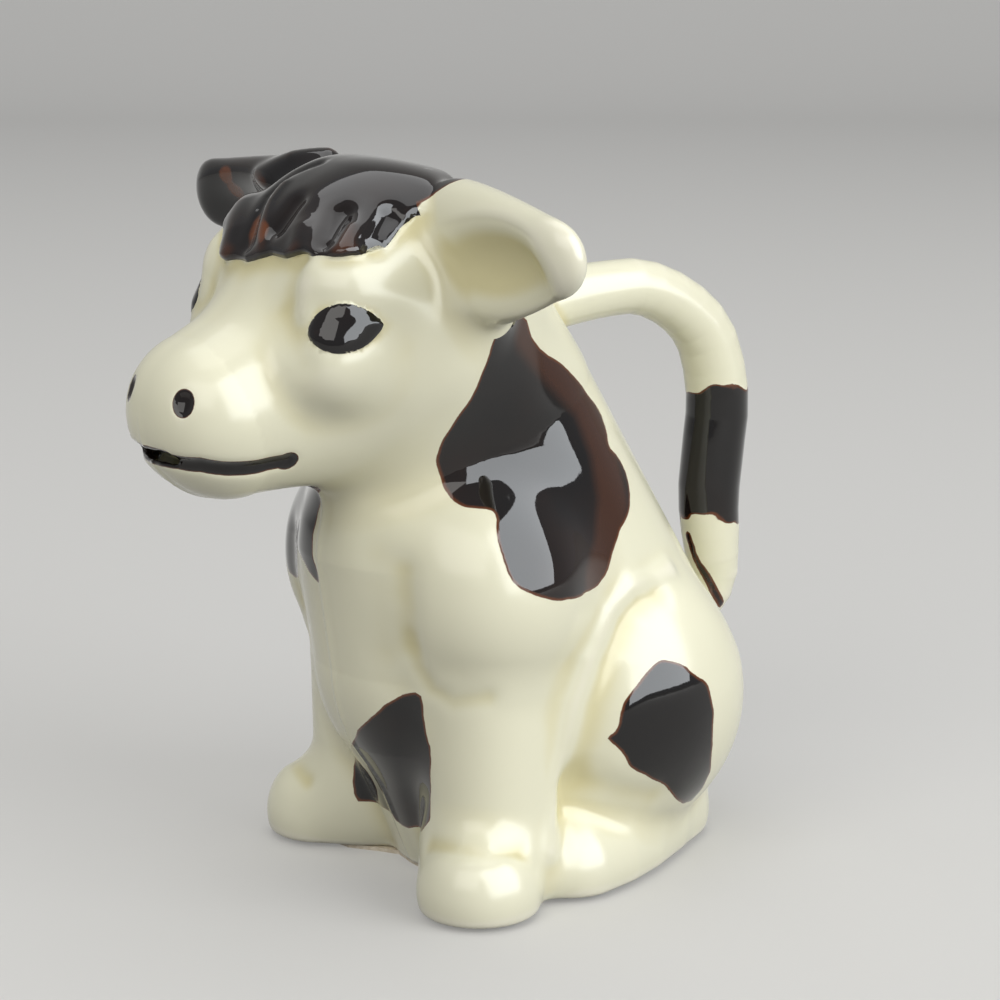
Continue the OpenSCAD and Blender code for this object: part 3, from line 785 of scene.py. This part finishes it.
def warmth(p):
    return np.clip((warm["reach"] - lineDistance(p, warmPoints)) / warm["fade"] + 0.5, 0, 1)


def wobble(p, size, seed):  # a slow, even waver for hand-painted edges
    q = p / size + seed
    return (np.sin(q[:, 0] * 2.1 + np.sin(q[:, 1] * 1.7)) + np.sin(q[:, 1] * 2.3 + np.sin(q[:, 2] * 1.9))
            + np.sin(q[:, 2] * 2.6 + np.sin(q[:, 0] * 1.5))) / 3


def patchDistance(p, plane):
    q = p - plane["at"]
    reach = np.abs(plane["poly"]).max() + 4
    inside = (length(q) < reach * 1.5) & (np.abs(q @ plane["n"]) < 16)
    out = np.full(len(p), 9.0)
    if inside.any():
        out[inside] = outlineDistance(np.stack([q[inside] @ plane["u"], q[inside] @ plane["v"]], 1), plane["poly"])
    return out


def paintDistance(p, name):  # distance to the black in millimetres, negative where it lies
    if name in blackPieces:  # black all over, thin and brown along the parting, with painted orange reflections on the far ear
        thinAndLit = np.minimum.reduce([lineDistance(p, locks[key]["points"]) - amber["reach"] for key in amber["beside"]])
        # painted reflection: orange spots where the far ear mirrors a warm light
        thinAndLit = np.minimum.reduce([thinAndLit] + [length(p - at) - amber["spot"] for at in paintedGlints])
        above = np.maximum(p[:, 2] - amber["below"], 0) * (0.3 if name == "hair" else 0.0)
        thinAndLit = thinAndLit * 0.8 + 0.3 * wobble(p, 2.0, 2.0) + above
        return -0.15 - np.clip(thinAndLit, 0, 9) if name in ("hair", "rightEar") else np.full(len(p), -9.0)
    d = np.full(len(p), 9.0)
    if name == "leftEar":  # black up to a line round the root
        edge = np.interp(p[:, 2], rootLine[::-1, 2], rootLine[::-1, 0])
        d = np.minimum(d, (p[:, 0] - edge) * 0.8)
    else:
        for plane in planes.values():
            d = np.minimum(d, patchDistance(p, plane))
    for copy in copies.values():
        plane = planes[copy["of"]]
        q = (p * np.array([-1, 1, 1]) - np.array(copy["move"]) - plane["at"]) / copy["grow"] + plane["at"]
        d = np.minimum(d, patchDistance(q, plane) * copy["grow"])
    if name == "tail":
        z = p[:, 2] + 2.0 * wobble(p, 5.0, 1.0) + 0.9 * wobble(p, 1.6, 3.0)
        band = np.maximum(z - tailBand["top"], tailBand["bottom"] - z)
        d = np.minimum(d, np.where(p[:, 1] > tailBand["behind"], band, 9.0))
    if name == "bodyShell":
        b = lobe(p, backPatch["centre"], backPatch["radii"]) + 1.6 * wobble(p, 6.0, 4.0)
        d = np.minimum(d, b)
    if name == "headShell":
        q = np.stack([np.abs(p[:, 0]), p[:, 1], p[:, 2]], 1)
        lip = modelling["mouth"]["points"]
        line = np.minimum(lineDistance(q, lip) - lipLine["thick"], length(q - lip[-1]) - lipLine["end"])
        d = np.minimum(d, 3 * line)  # 3 and 4: crisper edges than the patches have
        d = np.minimum(d, 4 * nostrilDistance(p))
        cut = openings(p)[1] - slit["rounding"]
        d = np.minimum(d, np.where(np.abs(p[:, 0]) < lipLine["slit"], 3 * cut, 9.0))
    if name in ("bodyShell", "tail"):
        d = np.minimum(d, lineDistance(p, crackPoints) - rootCrack["thick"])
    return d + 0.22 * wobble(p, 2.4, 7.0)


def creviceOf(p, h=2.6):  # above 0 in hollows, below 0 on ridges, felt h away all round
    total = -6 * inChunks(skinField, p)
    for axis in range(3):
        for sign in (-1, 1):
            step = np.zeros(3)
            step[axis] = sign * h
            total += inChunks(lambda x: skinField(x + step), p)
    return -total / (h * h)


dishPoolAndShade = {"more": 0.36, "depth": 2.6}  # glaze that gathers in the near ear's dish, darkened further as painted shade in that hollow
offSkin = 0.12                       # past this a point lies on a luted joint


def makePiece(name, tris, node):
    used, back = np.unique(tris, return_inverse=True)
    p, t = pts[used], back.reshape(-1, 3)
    off = np.abs(inChunks(solidField, p))
    normals = inChunks(lambda x: gradient(x, solidField, 0.2), p)
    size = np.maximum(length(normals), 1e-6)
    normals = normals / size[:, None]
    normals[(off > offSkin) | (size < 0.2)] = 0
    mesh = bpy.data.meshes.new(name)
    mesh.vertices.add(len(p))
    mesh.vertices.foreach_set("co", (p * 0.001).astype(np.float32).ravel())
    mesh.loops.add(len(t) * 3)
    mesh.loops.foreach_set("vertex_index", t.astype(np.int32).ravel())
    mesh.polygons.add(len(t))
    mesh.polygons.foreach_set("loop_start", np.arange(0, len(t) * 3, 3, dtype=np.int32))
    mesh.update(calc_edges=True)
    mesh.shade_smooth()
    mesh.normals_split_custom_set_from_vertices(normals)
    skinned = off < offSkin
    paint, crevice = np.full(len(p), 9.0), np.zeros(len(p))
    paint[skinned] = paintDistance(p[skinned], name)
    crevice[skinned] = np.clip(creviceOf(p[skinned]), -1, 1)
    # painted shade in the near ear's dish, on top of its pooled glaze
    if name == "leftEar":
        crevice += dishPoolAndShade["more"] * np.clip(-earShape(p, 1, False) / dishPoolAndShade["depth"], 0, 1)
    for key, values in (("paint", paint), ("crevice", crevice), ("warmth", warmth(p))):
        mesh.attributes.new(key, "FLOAT", "POINT").data.foreach_set("value", values.astype(np.float32))
    obj = bpy.data.objects.new(name, mesh)
    bpy.context.scene.collection.objects.link(obj)
    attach(obj, "root")
    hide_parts(node)
    return obj


standsFor = {
    "bodyShell": "body_shell", "headShell": "head_shell", "hair": "forelock", "leftEar": "left_ear",
    "rightEar": "right_ear", "leftEye": "left_eye", "rightEye": "right_eye", "tail": "handle",
    "leftForefoot": "left_forefoot", "rightForefoot": "right_forefoot",
    "leftHindFoot": "left_hind_foot", "rightHindFoot": "right_hind_foot",
}
made = {name: makePiece(name, tris, standsFor[name]) for name, tris in pieces.items()}
print("pieces made:", len(made))

# Finishes.


def newGroup(name, inputs, outputs):
    group = bpy.data.node_groups.new(name, "ShaderNodeTree")
    for label, kind, value in inputs:
        socket = group.interface.new_socket(label, in_out="INPUT", socket_type=kind)
        if value is not None:
            socket.default_value = value
    for label, kind in outputs:
        group.interface.new_socket(label, in_out="OUTPUT", socket_type=kind)
    return group, group.nodes.new("NodeGroupInput"), group.nodes.new("NodeGroupOutput")


def link(tree, a, b):
    tree.links.new(a, b)


def calc(tree, kind, a, b=None):
    node = tree.nodes.new("ShaderNodeMath")
    node.operation = kind
    for i, v in enumerate((a, b)):
        if v is None:
            continue
        if isinstance(v, (int, float)):
            node.inputs[i].default_value = v
        else:
            tree.links.new(v, node.inputs[i])
    return node.outputs[0]


def ramp(tree, value, low, high, a=0.0, b=1.0):
    node = tree.nodes.new("ShaderNodeMapRange")
    node.interpolation_type = "SMOOTHSTEP"
    for i, v in enumerate((None, low, high, a, b)):
        if v is not None:
            node.inputs[i].default_value = v
    tree.links.new(value, node.inputs[0])
    return node.outputs[0]


def noise(tree, coords, scale, detail=2.0, rough=0.5):
    node = tree.nodes.new("ShaderNodeTexNoise")
    node.inputs["Scale"].default_value = scale
    node.inputs["Detail"].default_value = detail
    node.inputs["Roughness"].default_value = rough
    tree.links.new(coords, node.inputs["Vector"])
    return node.outputs["Fac"]


def mixColour(tree, factor, a, b):
    node = tree.nodes.new("ShaderNodeMix")
    node.data_type = "RGBA"
    tree.links.new(factor, node.inputs["Factor"])
    for key, v in (("A", a), ("B", b)):
        socket = [s for s in node.inputs if s.name == key and s.type == "RGBA"][0]
        if isinstance(v, tuple):
            socket.default_value = (*v, 1)
        else:
            tree.links.new(v, socket)
    return [s for s in node.outputs if s.type == "RGBA"][0]


glazeWaves = {"wide": 75.0, "fine": 420.0, "fineShare": 0.1}


def glazeSurface():  # cloudiness and the faint waviness of a poured glaze
    group, given, out = newGroup("glazeSurface",
                                 [("Vector", "NodeSocketVector", None), ("Cloud Scale", "NodeSocketFloat", 60.0),
                                  ("Wave", "NodeSocketFloat", 1.0)],
                                 [("Cloud", "NodeSocketFloat"), ("Height", "NodeSocketFloat")])
    n = group.nodes
    cloud = n.new("ShaderNodeTexNoise")
    cloud.inputs["Detail"].default_value = 3.0
    link(group, given.outputs["Vector"], cloud.inputs["Vector"])
    link(group, given.outputs["Cloud Scale"], cloud.inputs["Scale"])
    link(group, cloud.outputs["Fac"], out.inputs["Cloud"])
    wave = noise(group, given.outputs["Vector"], glazeWaves["wide"], 1.0, 0.4)
    fine = noise(group, given.outputs["Vector"], glazeWaves["fine"], 2.0, 0.5)
    both = calc(group, "ADD", wave, calc(group, "MULTIPLY", fine, glazeWaves["fineShare"]))
    link(group, calc(group, "MULTIPLY", both, given.outputs["Wave"]), out.inputs["Height"])
    return group


def paintEdge():  # where the black lies, and how thin it is along its edge
    group, given, out = newGroup("paintEdge",
                                 [("Vector", "NodeSocketVector", None), ("Distance", "NodeSocketFloat", 9.0),
                                  ("Crevice", "NodeSocketFloat", 0.0), ("Ragged", "NodeSocketFloat", 0.35)],
                                 [("Paint", "NodeSocketFloat"), ("Thin", "NodeSocketFloat"),
                                  ("Height", "NodeSocketFloat")])
    rag = noise(group, given.outputs["Vector"], 420.0, 3.0, 0.6)
    rag = calc(group, "MULTIPLY", calc(group, "SUBTRACT", rag, 0.5), given.outputs["Ragged"])
    d = calc(group, "ADD", given.outputs["Distance"], rag)
    link(group, ramp(group, d, 0.08, -0.08), out.inputs["Paint"])
    edge = ramp(group, d, -0.75, -0.05)
    ridge = ramp(group, given.outputs["Crevice"], -0.3, -0.7)
    link(group, calc(group, "MAXIMUM", edge, calc(group, "MULTIPLY", ridge, 0.35)), out.inputs["Thin"])
    link(group, ramp(group, d, 0.25, -0.55), out.inputs["Height"])
    return group


surfaceGroup, edgeGroup = glazeSurface(), paintEdge()
# Hollows take a darker yellow: pooled glaze with painted shade. Ridges take a lighter colour: thinner glaze with a
# painted highlight.
ivoryGlaze = {
    "clay": (0.775, 0.755, 0.575), "pooledAndShaded": (0.68, 0.625, 0.37), "thinAndLit": (0.83, 0.80, 0.66),
    "roughness": 0.2, "ior": 1.45, "wave": 0.9,
}
blackGlaze = {  # brown where it is thinnest
    "deep": (0.006, 0.005, 0.005), "warm": (0.05, 0.0185, 0.009), "brown": (0.13, 0.038, 0.011),
    "roughness": 0.04, "coat": 1.2, "coatRoughness": 0.02, "mottle": 0.2, "ragged": 0.35, "raised": 0.5,
}
glazeBump = {"strength": 0.35, "distance": 0.0003}


def newMaterial(name):
    material = bpy.data.materials.new(name)
    material.use_nodes = True
    tree = material.node_tree
    return material, tree, tree.nodes["Principled BSDF"]


def attribute(tree, name):
    node = tree.nodes.new("ShaderNodeAttribute")
    node.attribute_name = name
    return node.outputs["Fac"]


def glazed(name, allBlack=False):
    material, tree, shader = newMaterial(name)
    coords = tree.nodes.new("ShaderNodeTexCoord").outputs["Object"]
    paint, crevice = attribute(tree, "paint"), attribute(tree, "crevice")
    surface = tree.nodes.new("ShaderNodeGroup")
    surface.node_tree = surfaceGroup
    surface.inputs["Wave"].default_value = ivoryGlaze["wave"]
    link(tree, coords, surface.inputs["Vector"])
    edge = tree.nodes.new("ShaderNodeGroup")
    edge.node_tree = edgeGroup
    link(tree, coords, edge.inputs["Vector"])
    link(tree, crevice, edge.inputs["Crevice"])
    edge.inputs["Ragged"].default_value = 0.0 if allBlack else blackGlaze["ragged"]
    link(tree, paint, edge.inputs["Distance"])
    mottle = ramp(tree, noise(tree, coords, 38.0, 3.0), 0.42, 0.72, 0.0, blackGlaze["mottle"])
    brownish = calc(tree, "MAXIMUM", attribute(tree, "warmth"), mottle)
    deep = mixColour(tree, brownish, blackGlaze["deep"], blackGlaze["warm"])
    dark = mixColour(tree, edge.outputs["Thin"], deep, blackGlaze["brown"])
    cloudy = calc(tree, "MULTIPLY", calc(tree, "SUBTRACT", surface.outputs["Cloud"], 0.5), 0.35)
    # painted shade: darker and yellower in hollows, with the glaze that pools there
    depth = ramp(tree, calc(tree, "ADD", crevice, calc(tree, "MULTIPLY", cloudy, 0.25)), -0.05, 0.32)
    ivory = mixColour(tree, depth, ivoryGlaze["clay"], ivoryGlaze["pooledAndShaded"])
    # painted highlight: lighter on ridges, with the thinner glaze there
    ridge = ramp(tree, crevice, -0.12, -0.4, 0.0, 0.7)
    ivory = mixColour(tree, ridge, ivory, ivoryGlaze["thinAndLit"])
    link(tree, mixColour(tree, edge.outputs["Paint"], ivory, dark), shader.inputs["Base Color"])
    rough = tree.nodes.new("ShaderNodeMapRange")
    rough.inputs[3].default_value = ivoryGlaze["roughness"]
    rough.inputs[4].default_value = blackGlaze["roughness"]
    link(tree, edge.outputs["Paint"], rough.inputs[0])
    link(tree, rough.outputs[0], shader.inputs["Roughness"])
    sheer = ramp(tree, crevice, 0.3, 0.05)  # the black is a second, richer glaze, dull in the folds
    link(tree, calc(tree, "MULTIPLY", edge.outputs["Paint"], sheer), shader.inputs["Coat Weight"])
    shader.inputs["Coat IOR"].default_value = blackGlaze["coat"]
    shader.inputs["Coat Roughness"].default_value = blackGlaze["coatRoughness"]
    raised = calc(tree, "MULTIPLY", edge.outputs["Height"], blackGlaze["raised"])
    bump = tree.nodes.new("ShaderNodeBump")
    bump.inputs["Strength"].default_value = glazeBump["strength"]
    bump.inputs["Distance"].default_value = glazeBump["distance"]
    link(tree, calc(tree, "ADD", surface.outputs["Height"], raised), bump.inputs["Height"])
    link(tree, bump.outputs[0], shader.inputs["Normal"])
    shader.inputs["IOR"].default_value = ivoryGlaze["ior"]
    return material


biscuit = {"dark": (0.60, 0.52, 0.40), "light": (0.72, 0.65, 0.53), "roughness": 0.85, "grain": 0.0002}


def bareClay():  # the unglazed foot ring
    material, tree, shader = newMaterial("bareClay")
    coords = tree.nodes.new("ShaderNodeTexCoord").outputs["Object"]
    grain = noise(tree, coords, 900.0, 4.0, 0.6)
    colour = mixColour(tree, ramp(tree, grain, 0.35, 0.65), biscuit["dark"], biscuit["light"])
    link(tree, colour, shader.inputs["Base Color"])
    shader.inputs["Roughness"].default_value = biscuit["roughness"]
    bump = tree.nodes.new("ShaderNodeBump")
    bump.inputs["Distance"].default_value = biscuit["grain"]
    link(tree, grain, bump.inputs["Height"])
    link(tree, bump.outputs[0], shader.inputs["Normal"])
    return material


ivory, black = glazed("ivoryAndBlackGlaze"), glazed("blackGlaze", True)
for name, obj in made.items():
    obj.data.materials.append(black if name in blackPieces else ivory)


specks = {
    "perSquareMetre": 330.0, "size": 0.00015, "seed": 11, "flat": 0.35, "smallest": 0.6, "largest": 1.5,
    "segments": 8, "rings": 5, "offPaint": 0.8, "aboveTable": 3, "offLining": 2,
    "dark": (0.05, 0.028, 0.015), "light": (0.16, 0.09, 0.045), "roughness": 0.35,
    "inputs": {"Density": ("NodeSocketFloat", "perSquareMetre"), "Size": ("NodeSocketFloat", "size"),
               "Seed": ("NodeSocketInt", "seed")},
}


def speckTree(material):  # little iron specks, burnt through the glaze
    tree = bpy.data.node_groups.new("ironSpecks", "GeometryNodeTree")
    face = tree.interface
    face.new_socket("Geometry", in_out="INPUT", socket_type="NodeSocketGeometry")
    ids = {}
    for label, (kind, key) in specks["inputs"].items():
        socket = face.new_socket(label, in_out="INPUT", socket_type=kind)
        socket.default_value = specks[key]
        ids[label] = socket.identifier
    face.new_socket("Geometry", in_out="OUTPUT", socket_type="NodeSocketGeometry")
    n = tree.nodes
    given, out = n.new("NodeGroupInput"), n.new("NodeGroupOutput")
    scatter, grain = n.new("GeometryNodeDistributePointsOnFaces"), n.new("GeometryNodeMeshUVSphere")
    place = n.new("GeometryNodeInstanceOnPoints")
    grain.inputs["Segments"].default_value = specks["segments"]
    grain.inputs["Rings"].default_value = specks["rings"]
    grow = n.new("FunctionNodeRandomValue")
    grow.data_type = "FLOAT_VECTOR"
    grow.inputs[0].default_value = (specks["smallest"], specks["smallest"], specks["flat"] * 0.8)
    grow.inputs[1].default_value = (specks["largest"], specks["largest"], specks["flat"])
    real, finish = n.new("GeometryNodeRealizeInstances"), n.new("GeometryNodeSetMaterial")
    finish.inputs["Material"].default_value = material
    for source, label, target, into in (
            (given, "Geometry", scatter, "Mesh"), (given, "Density", scatter, "Density"),
            (given, "Seed", scatter, "Seed"), (given, "Size", grain, "Radius"), (given, "Seed", grow, "Seed"),
            (scatter, "Points", place, "Points"), (scatter, "Rotation", place, "Rotation"),
            (grain, "Mesh", place, "Instance"), (grow, 0, place, "Scale"), (place, "Instances", real, "Geometry"),
            (real, "Geometry", finish, "Geometry"), (finish, "Geometry", out, "Geometry")):
        link(tree, source.outputs[label], target.inputs[into])
    return tree, ids


def scatterSpecks():  # only where the glaze is ivory
    ivoryPieces = ("bodyShell", "headShell", "tail")
    tris = np.concatenate([pieces[name] for name in ivoryPieces])
    used, back = np.unique(tris, return_inverse=True)
    p, t = pts[used], back.reshape(-1, 3)
    paint = np.minimum.reduce([paintDistance(p, name) for name in ivoryPieces])
    clear = (np.abs(inChunks(skinField, p)) < 0.05) & (paint > specks["offPaint"]) & (p[:, 2] > specks["aboveTable"])
    clear &= inChunks(liningField, p) > specks["offLining"]
    t = t[clear[t].all(1)]
    mesh = bpy.data.meshes.new("speckGround")
    mesh.from_pydata((p * 0.001).tolist(), [], t.tolist())
    ground = bpy.data.objects.new("speckGround", mesh)
    bpy.context.scene.collection.objects.link(ground)
    material, tree, shader = newMaterial("ironSpeck")
    coords = tree.nodes.new("ShaderNodeTexCoord").outputs["Object"]
    colour = mixColour(tree, noise(tree, coords, 700.0), specks["dark"], specks["light"])
    link(tree, colour, shader.inputs["Base Color"])
    shader.inputs["Roughness"].default_value = specks["roughness"]
    nodes, ids = speckTree(material)
    modifier = ground.modifiers.new("ironSpecks", "NODES")
    modifier.node_group = nodes
    for label, (kind, key) in specks["inputs"].items():
        modifier[ids[label]] = specks[key]
    evaluated = ground.evaluated_get(bpy.context.evaluated_depsgraph_get())
    result = bpy.data.meshes.new_from_object(evaluated)
    ground.modifiers.remove(modifier)
    bpy.data.objects.remove(ground)
    bpy.data.meshes.remove(mesh)
    obj = bpy.data.objects.new("ironSpecks", result)
    bpy.context.scene.collection.objects.link(obj)
    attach(obj, "root")
    print("iron specks:", len(result.polygons), "faces")


scatterSpecks()
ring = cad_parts["foot_ring"]  # the only piece that shows as it was drawn
ring.data.materials.clear()
ring.data.materials.append(bareClay())
print("finishes done")

# Room, light and camera.
room = {  # floorSeen: the colour it has to the eye, with its glow, floorThrows: what it throws back on the clay
    "floorSeen": (0.46, 0.455, 0.44), "floorThrows": (0.22, 0.215, 0.21), "glow": (0.19, 0.188, 0.183),
    "world": 0.36, "sky": (0.95, 0.97, 1.0),
    "front": -3.0, "back": 1.6, "curve": 0.6, "height": 3.0, "half": 4.0,  # in metres
}
lamps = {
    "window": {"at": (1.12, 0.52, 0.50), "size": (1.15, 1.0), "power": 14.0, "colour": (0.98, 0.99, 1.0),
               "hide": "glossy"},
    "pane": {"at": (1.13, 0.34, 0.80), "size": (1.80, 1.70), "power": 58.0, "colour": (0.93, 0.97, 1.0),
             "hide": "diffuse"},
    "front": {"at": (0.72, -1.26, 1.02), "size": (1.4, 1.1), "power": 12.0, "colour": (1.0, 0.98, 0.94)},
    "above": {"at": (-0.25, 0.10, 1.50), "size": (1.3, 1.3), "power": 8.0, "colour": (1.0, 1.0, 1.0)},
}


def pale(name, seen, other):
    material, tree, shader = newMaterial(name)
    shader.inputs["Roughness"].default_value = 1.0
    shader.inputs["Specular IOR Level"].default_value = 0.0
    path = tree.nodes.new("ShaderNodeLightPath")
    looked = calc(tree, "MAXIMUM", path.outputs["Is Camera Ray"], path.outputs["Is Glossy Ray"])
    looked = calc(tree, "MAXIMUM", looked, path.outputs["Is Transmission Ray"])
    link(tree, mixColour(tree, looked, other, seen), shader.inputs["Base Color"])
    link(tree, mixColour(tree, looked, (0.0, 0.0, 0.0), room["glow"]), shader.inputs["Emission Color"])
    shader.inputs["Emission Strength"].default_value = 1.0
    return material


def sweep():  # floor that curves up into the backdrop
    curve = room["curve"]
    profile = [(room["front"], 0.0), (room["back"], 0.0)]
    for a in np.radians(np.arange(5, 91, 5)):
        profile.append((room["back"] + curve * math.sin(a), curve - curve * math.cos(a)))
    profile.append((room["back"] + curve, room["height"]))
    verts, faces = [], []
    back = -np.array([viewBack[0], viewBack[1]]) / np.hypot(viewBack[0], viewBack[1])
    side = np.array([-back[1], back[0]])
    for y, z in profile:
        for x in (-room["half"], room["half"]):
            xy = back * y + side * x
            verts.append((xy[0], xy[1], z))
    for i in range(len(profile) - 1):
        faces.append((2 * i, 2 * i + 1, 2 * i + 3, 2 * i + 2))
    mesh = bpy.data.meshes.new("sweep")
    mesh.from_pydata(verts, [], faces)
    mesh.shade_smooth()
    obj = bpy.data.objects.new("sweep", mesh)
    bpy.context.scene.collection.objects.link(obj)
    obj.data.materials.append(pale("paleRoom", room["floorSeen"], room["floorThrows"]))


def addLamp(name, spec):
    light = bpy.data.lights.new(name, "AREA")
    light.shape = "RECTANGLE"
    light.size, light.size_y = spec["size"]
    light.energy = spec["power"]
    light.color = spec["colour"]
    obj = bpy.data.objects.new(name, light)
    bpy.context.scene.collection.objects.link(obj)
    obj.location = spec["at"]
    obj.visible_camera = False
    if "hide" in spec:  # the pane is what the glaze mirrors, the window what lights the clay
        obj.visible_glossy = spec["hide"] != "glossy"
        obj.visible_diffuse = spec["hide"] != "diffuse"
    aim = np.array([0, 0, 0.07]) - np.array(spec["at"])  # at the middle of the jug
    obj.rotation_euler = Vector(aim).to_track_quat("-Z", "Y").to_euler()


sweep()
for name, spec in lamps.items():
    addLamp(name, spec)
world = bpy.data.worlds.new("room")
bpy.context.scene.world = world
world.use_nodes = True
background = world.node_tree.nodes["Background"]
background.inputs["Color"].default_value = (*room["sky"], 1)
background.inputs["Strength"].default_value = room["world"]

camera = bpy.data.cameras.new("photoCamera")
camera.sensor_width = 36.0
camera.lens = photoView["focal"] * 36 / 1000
camera.clip_start = 0.01
cameraObject = bpy.data.objects.new("photoCamera", camera)
bpy.context.scene.collection.objects.link(cameraObject)
turn = Matrix([[viewRight[i], viewUp[i], viewBack[i]] for i in range(3)]).to_4x4()
cameraObject.matrix_world = Matrix.Translation(eyePoint * 0.001) @ turn
bpy.context.scene.camera = cameraObject
bpy.context.scene.view_settings.view_transform = "Standard"
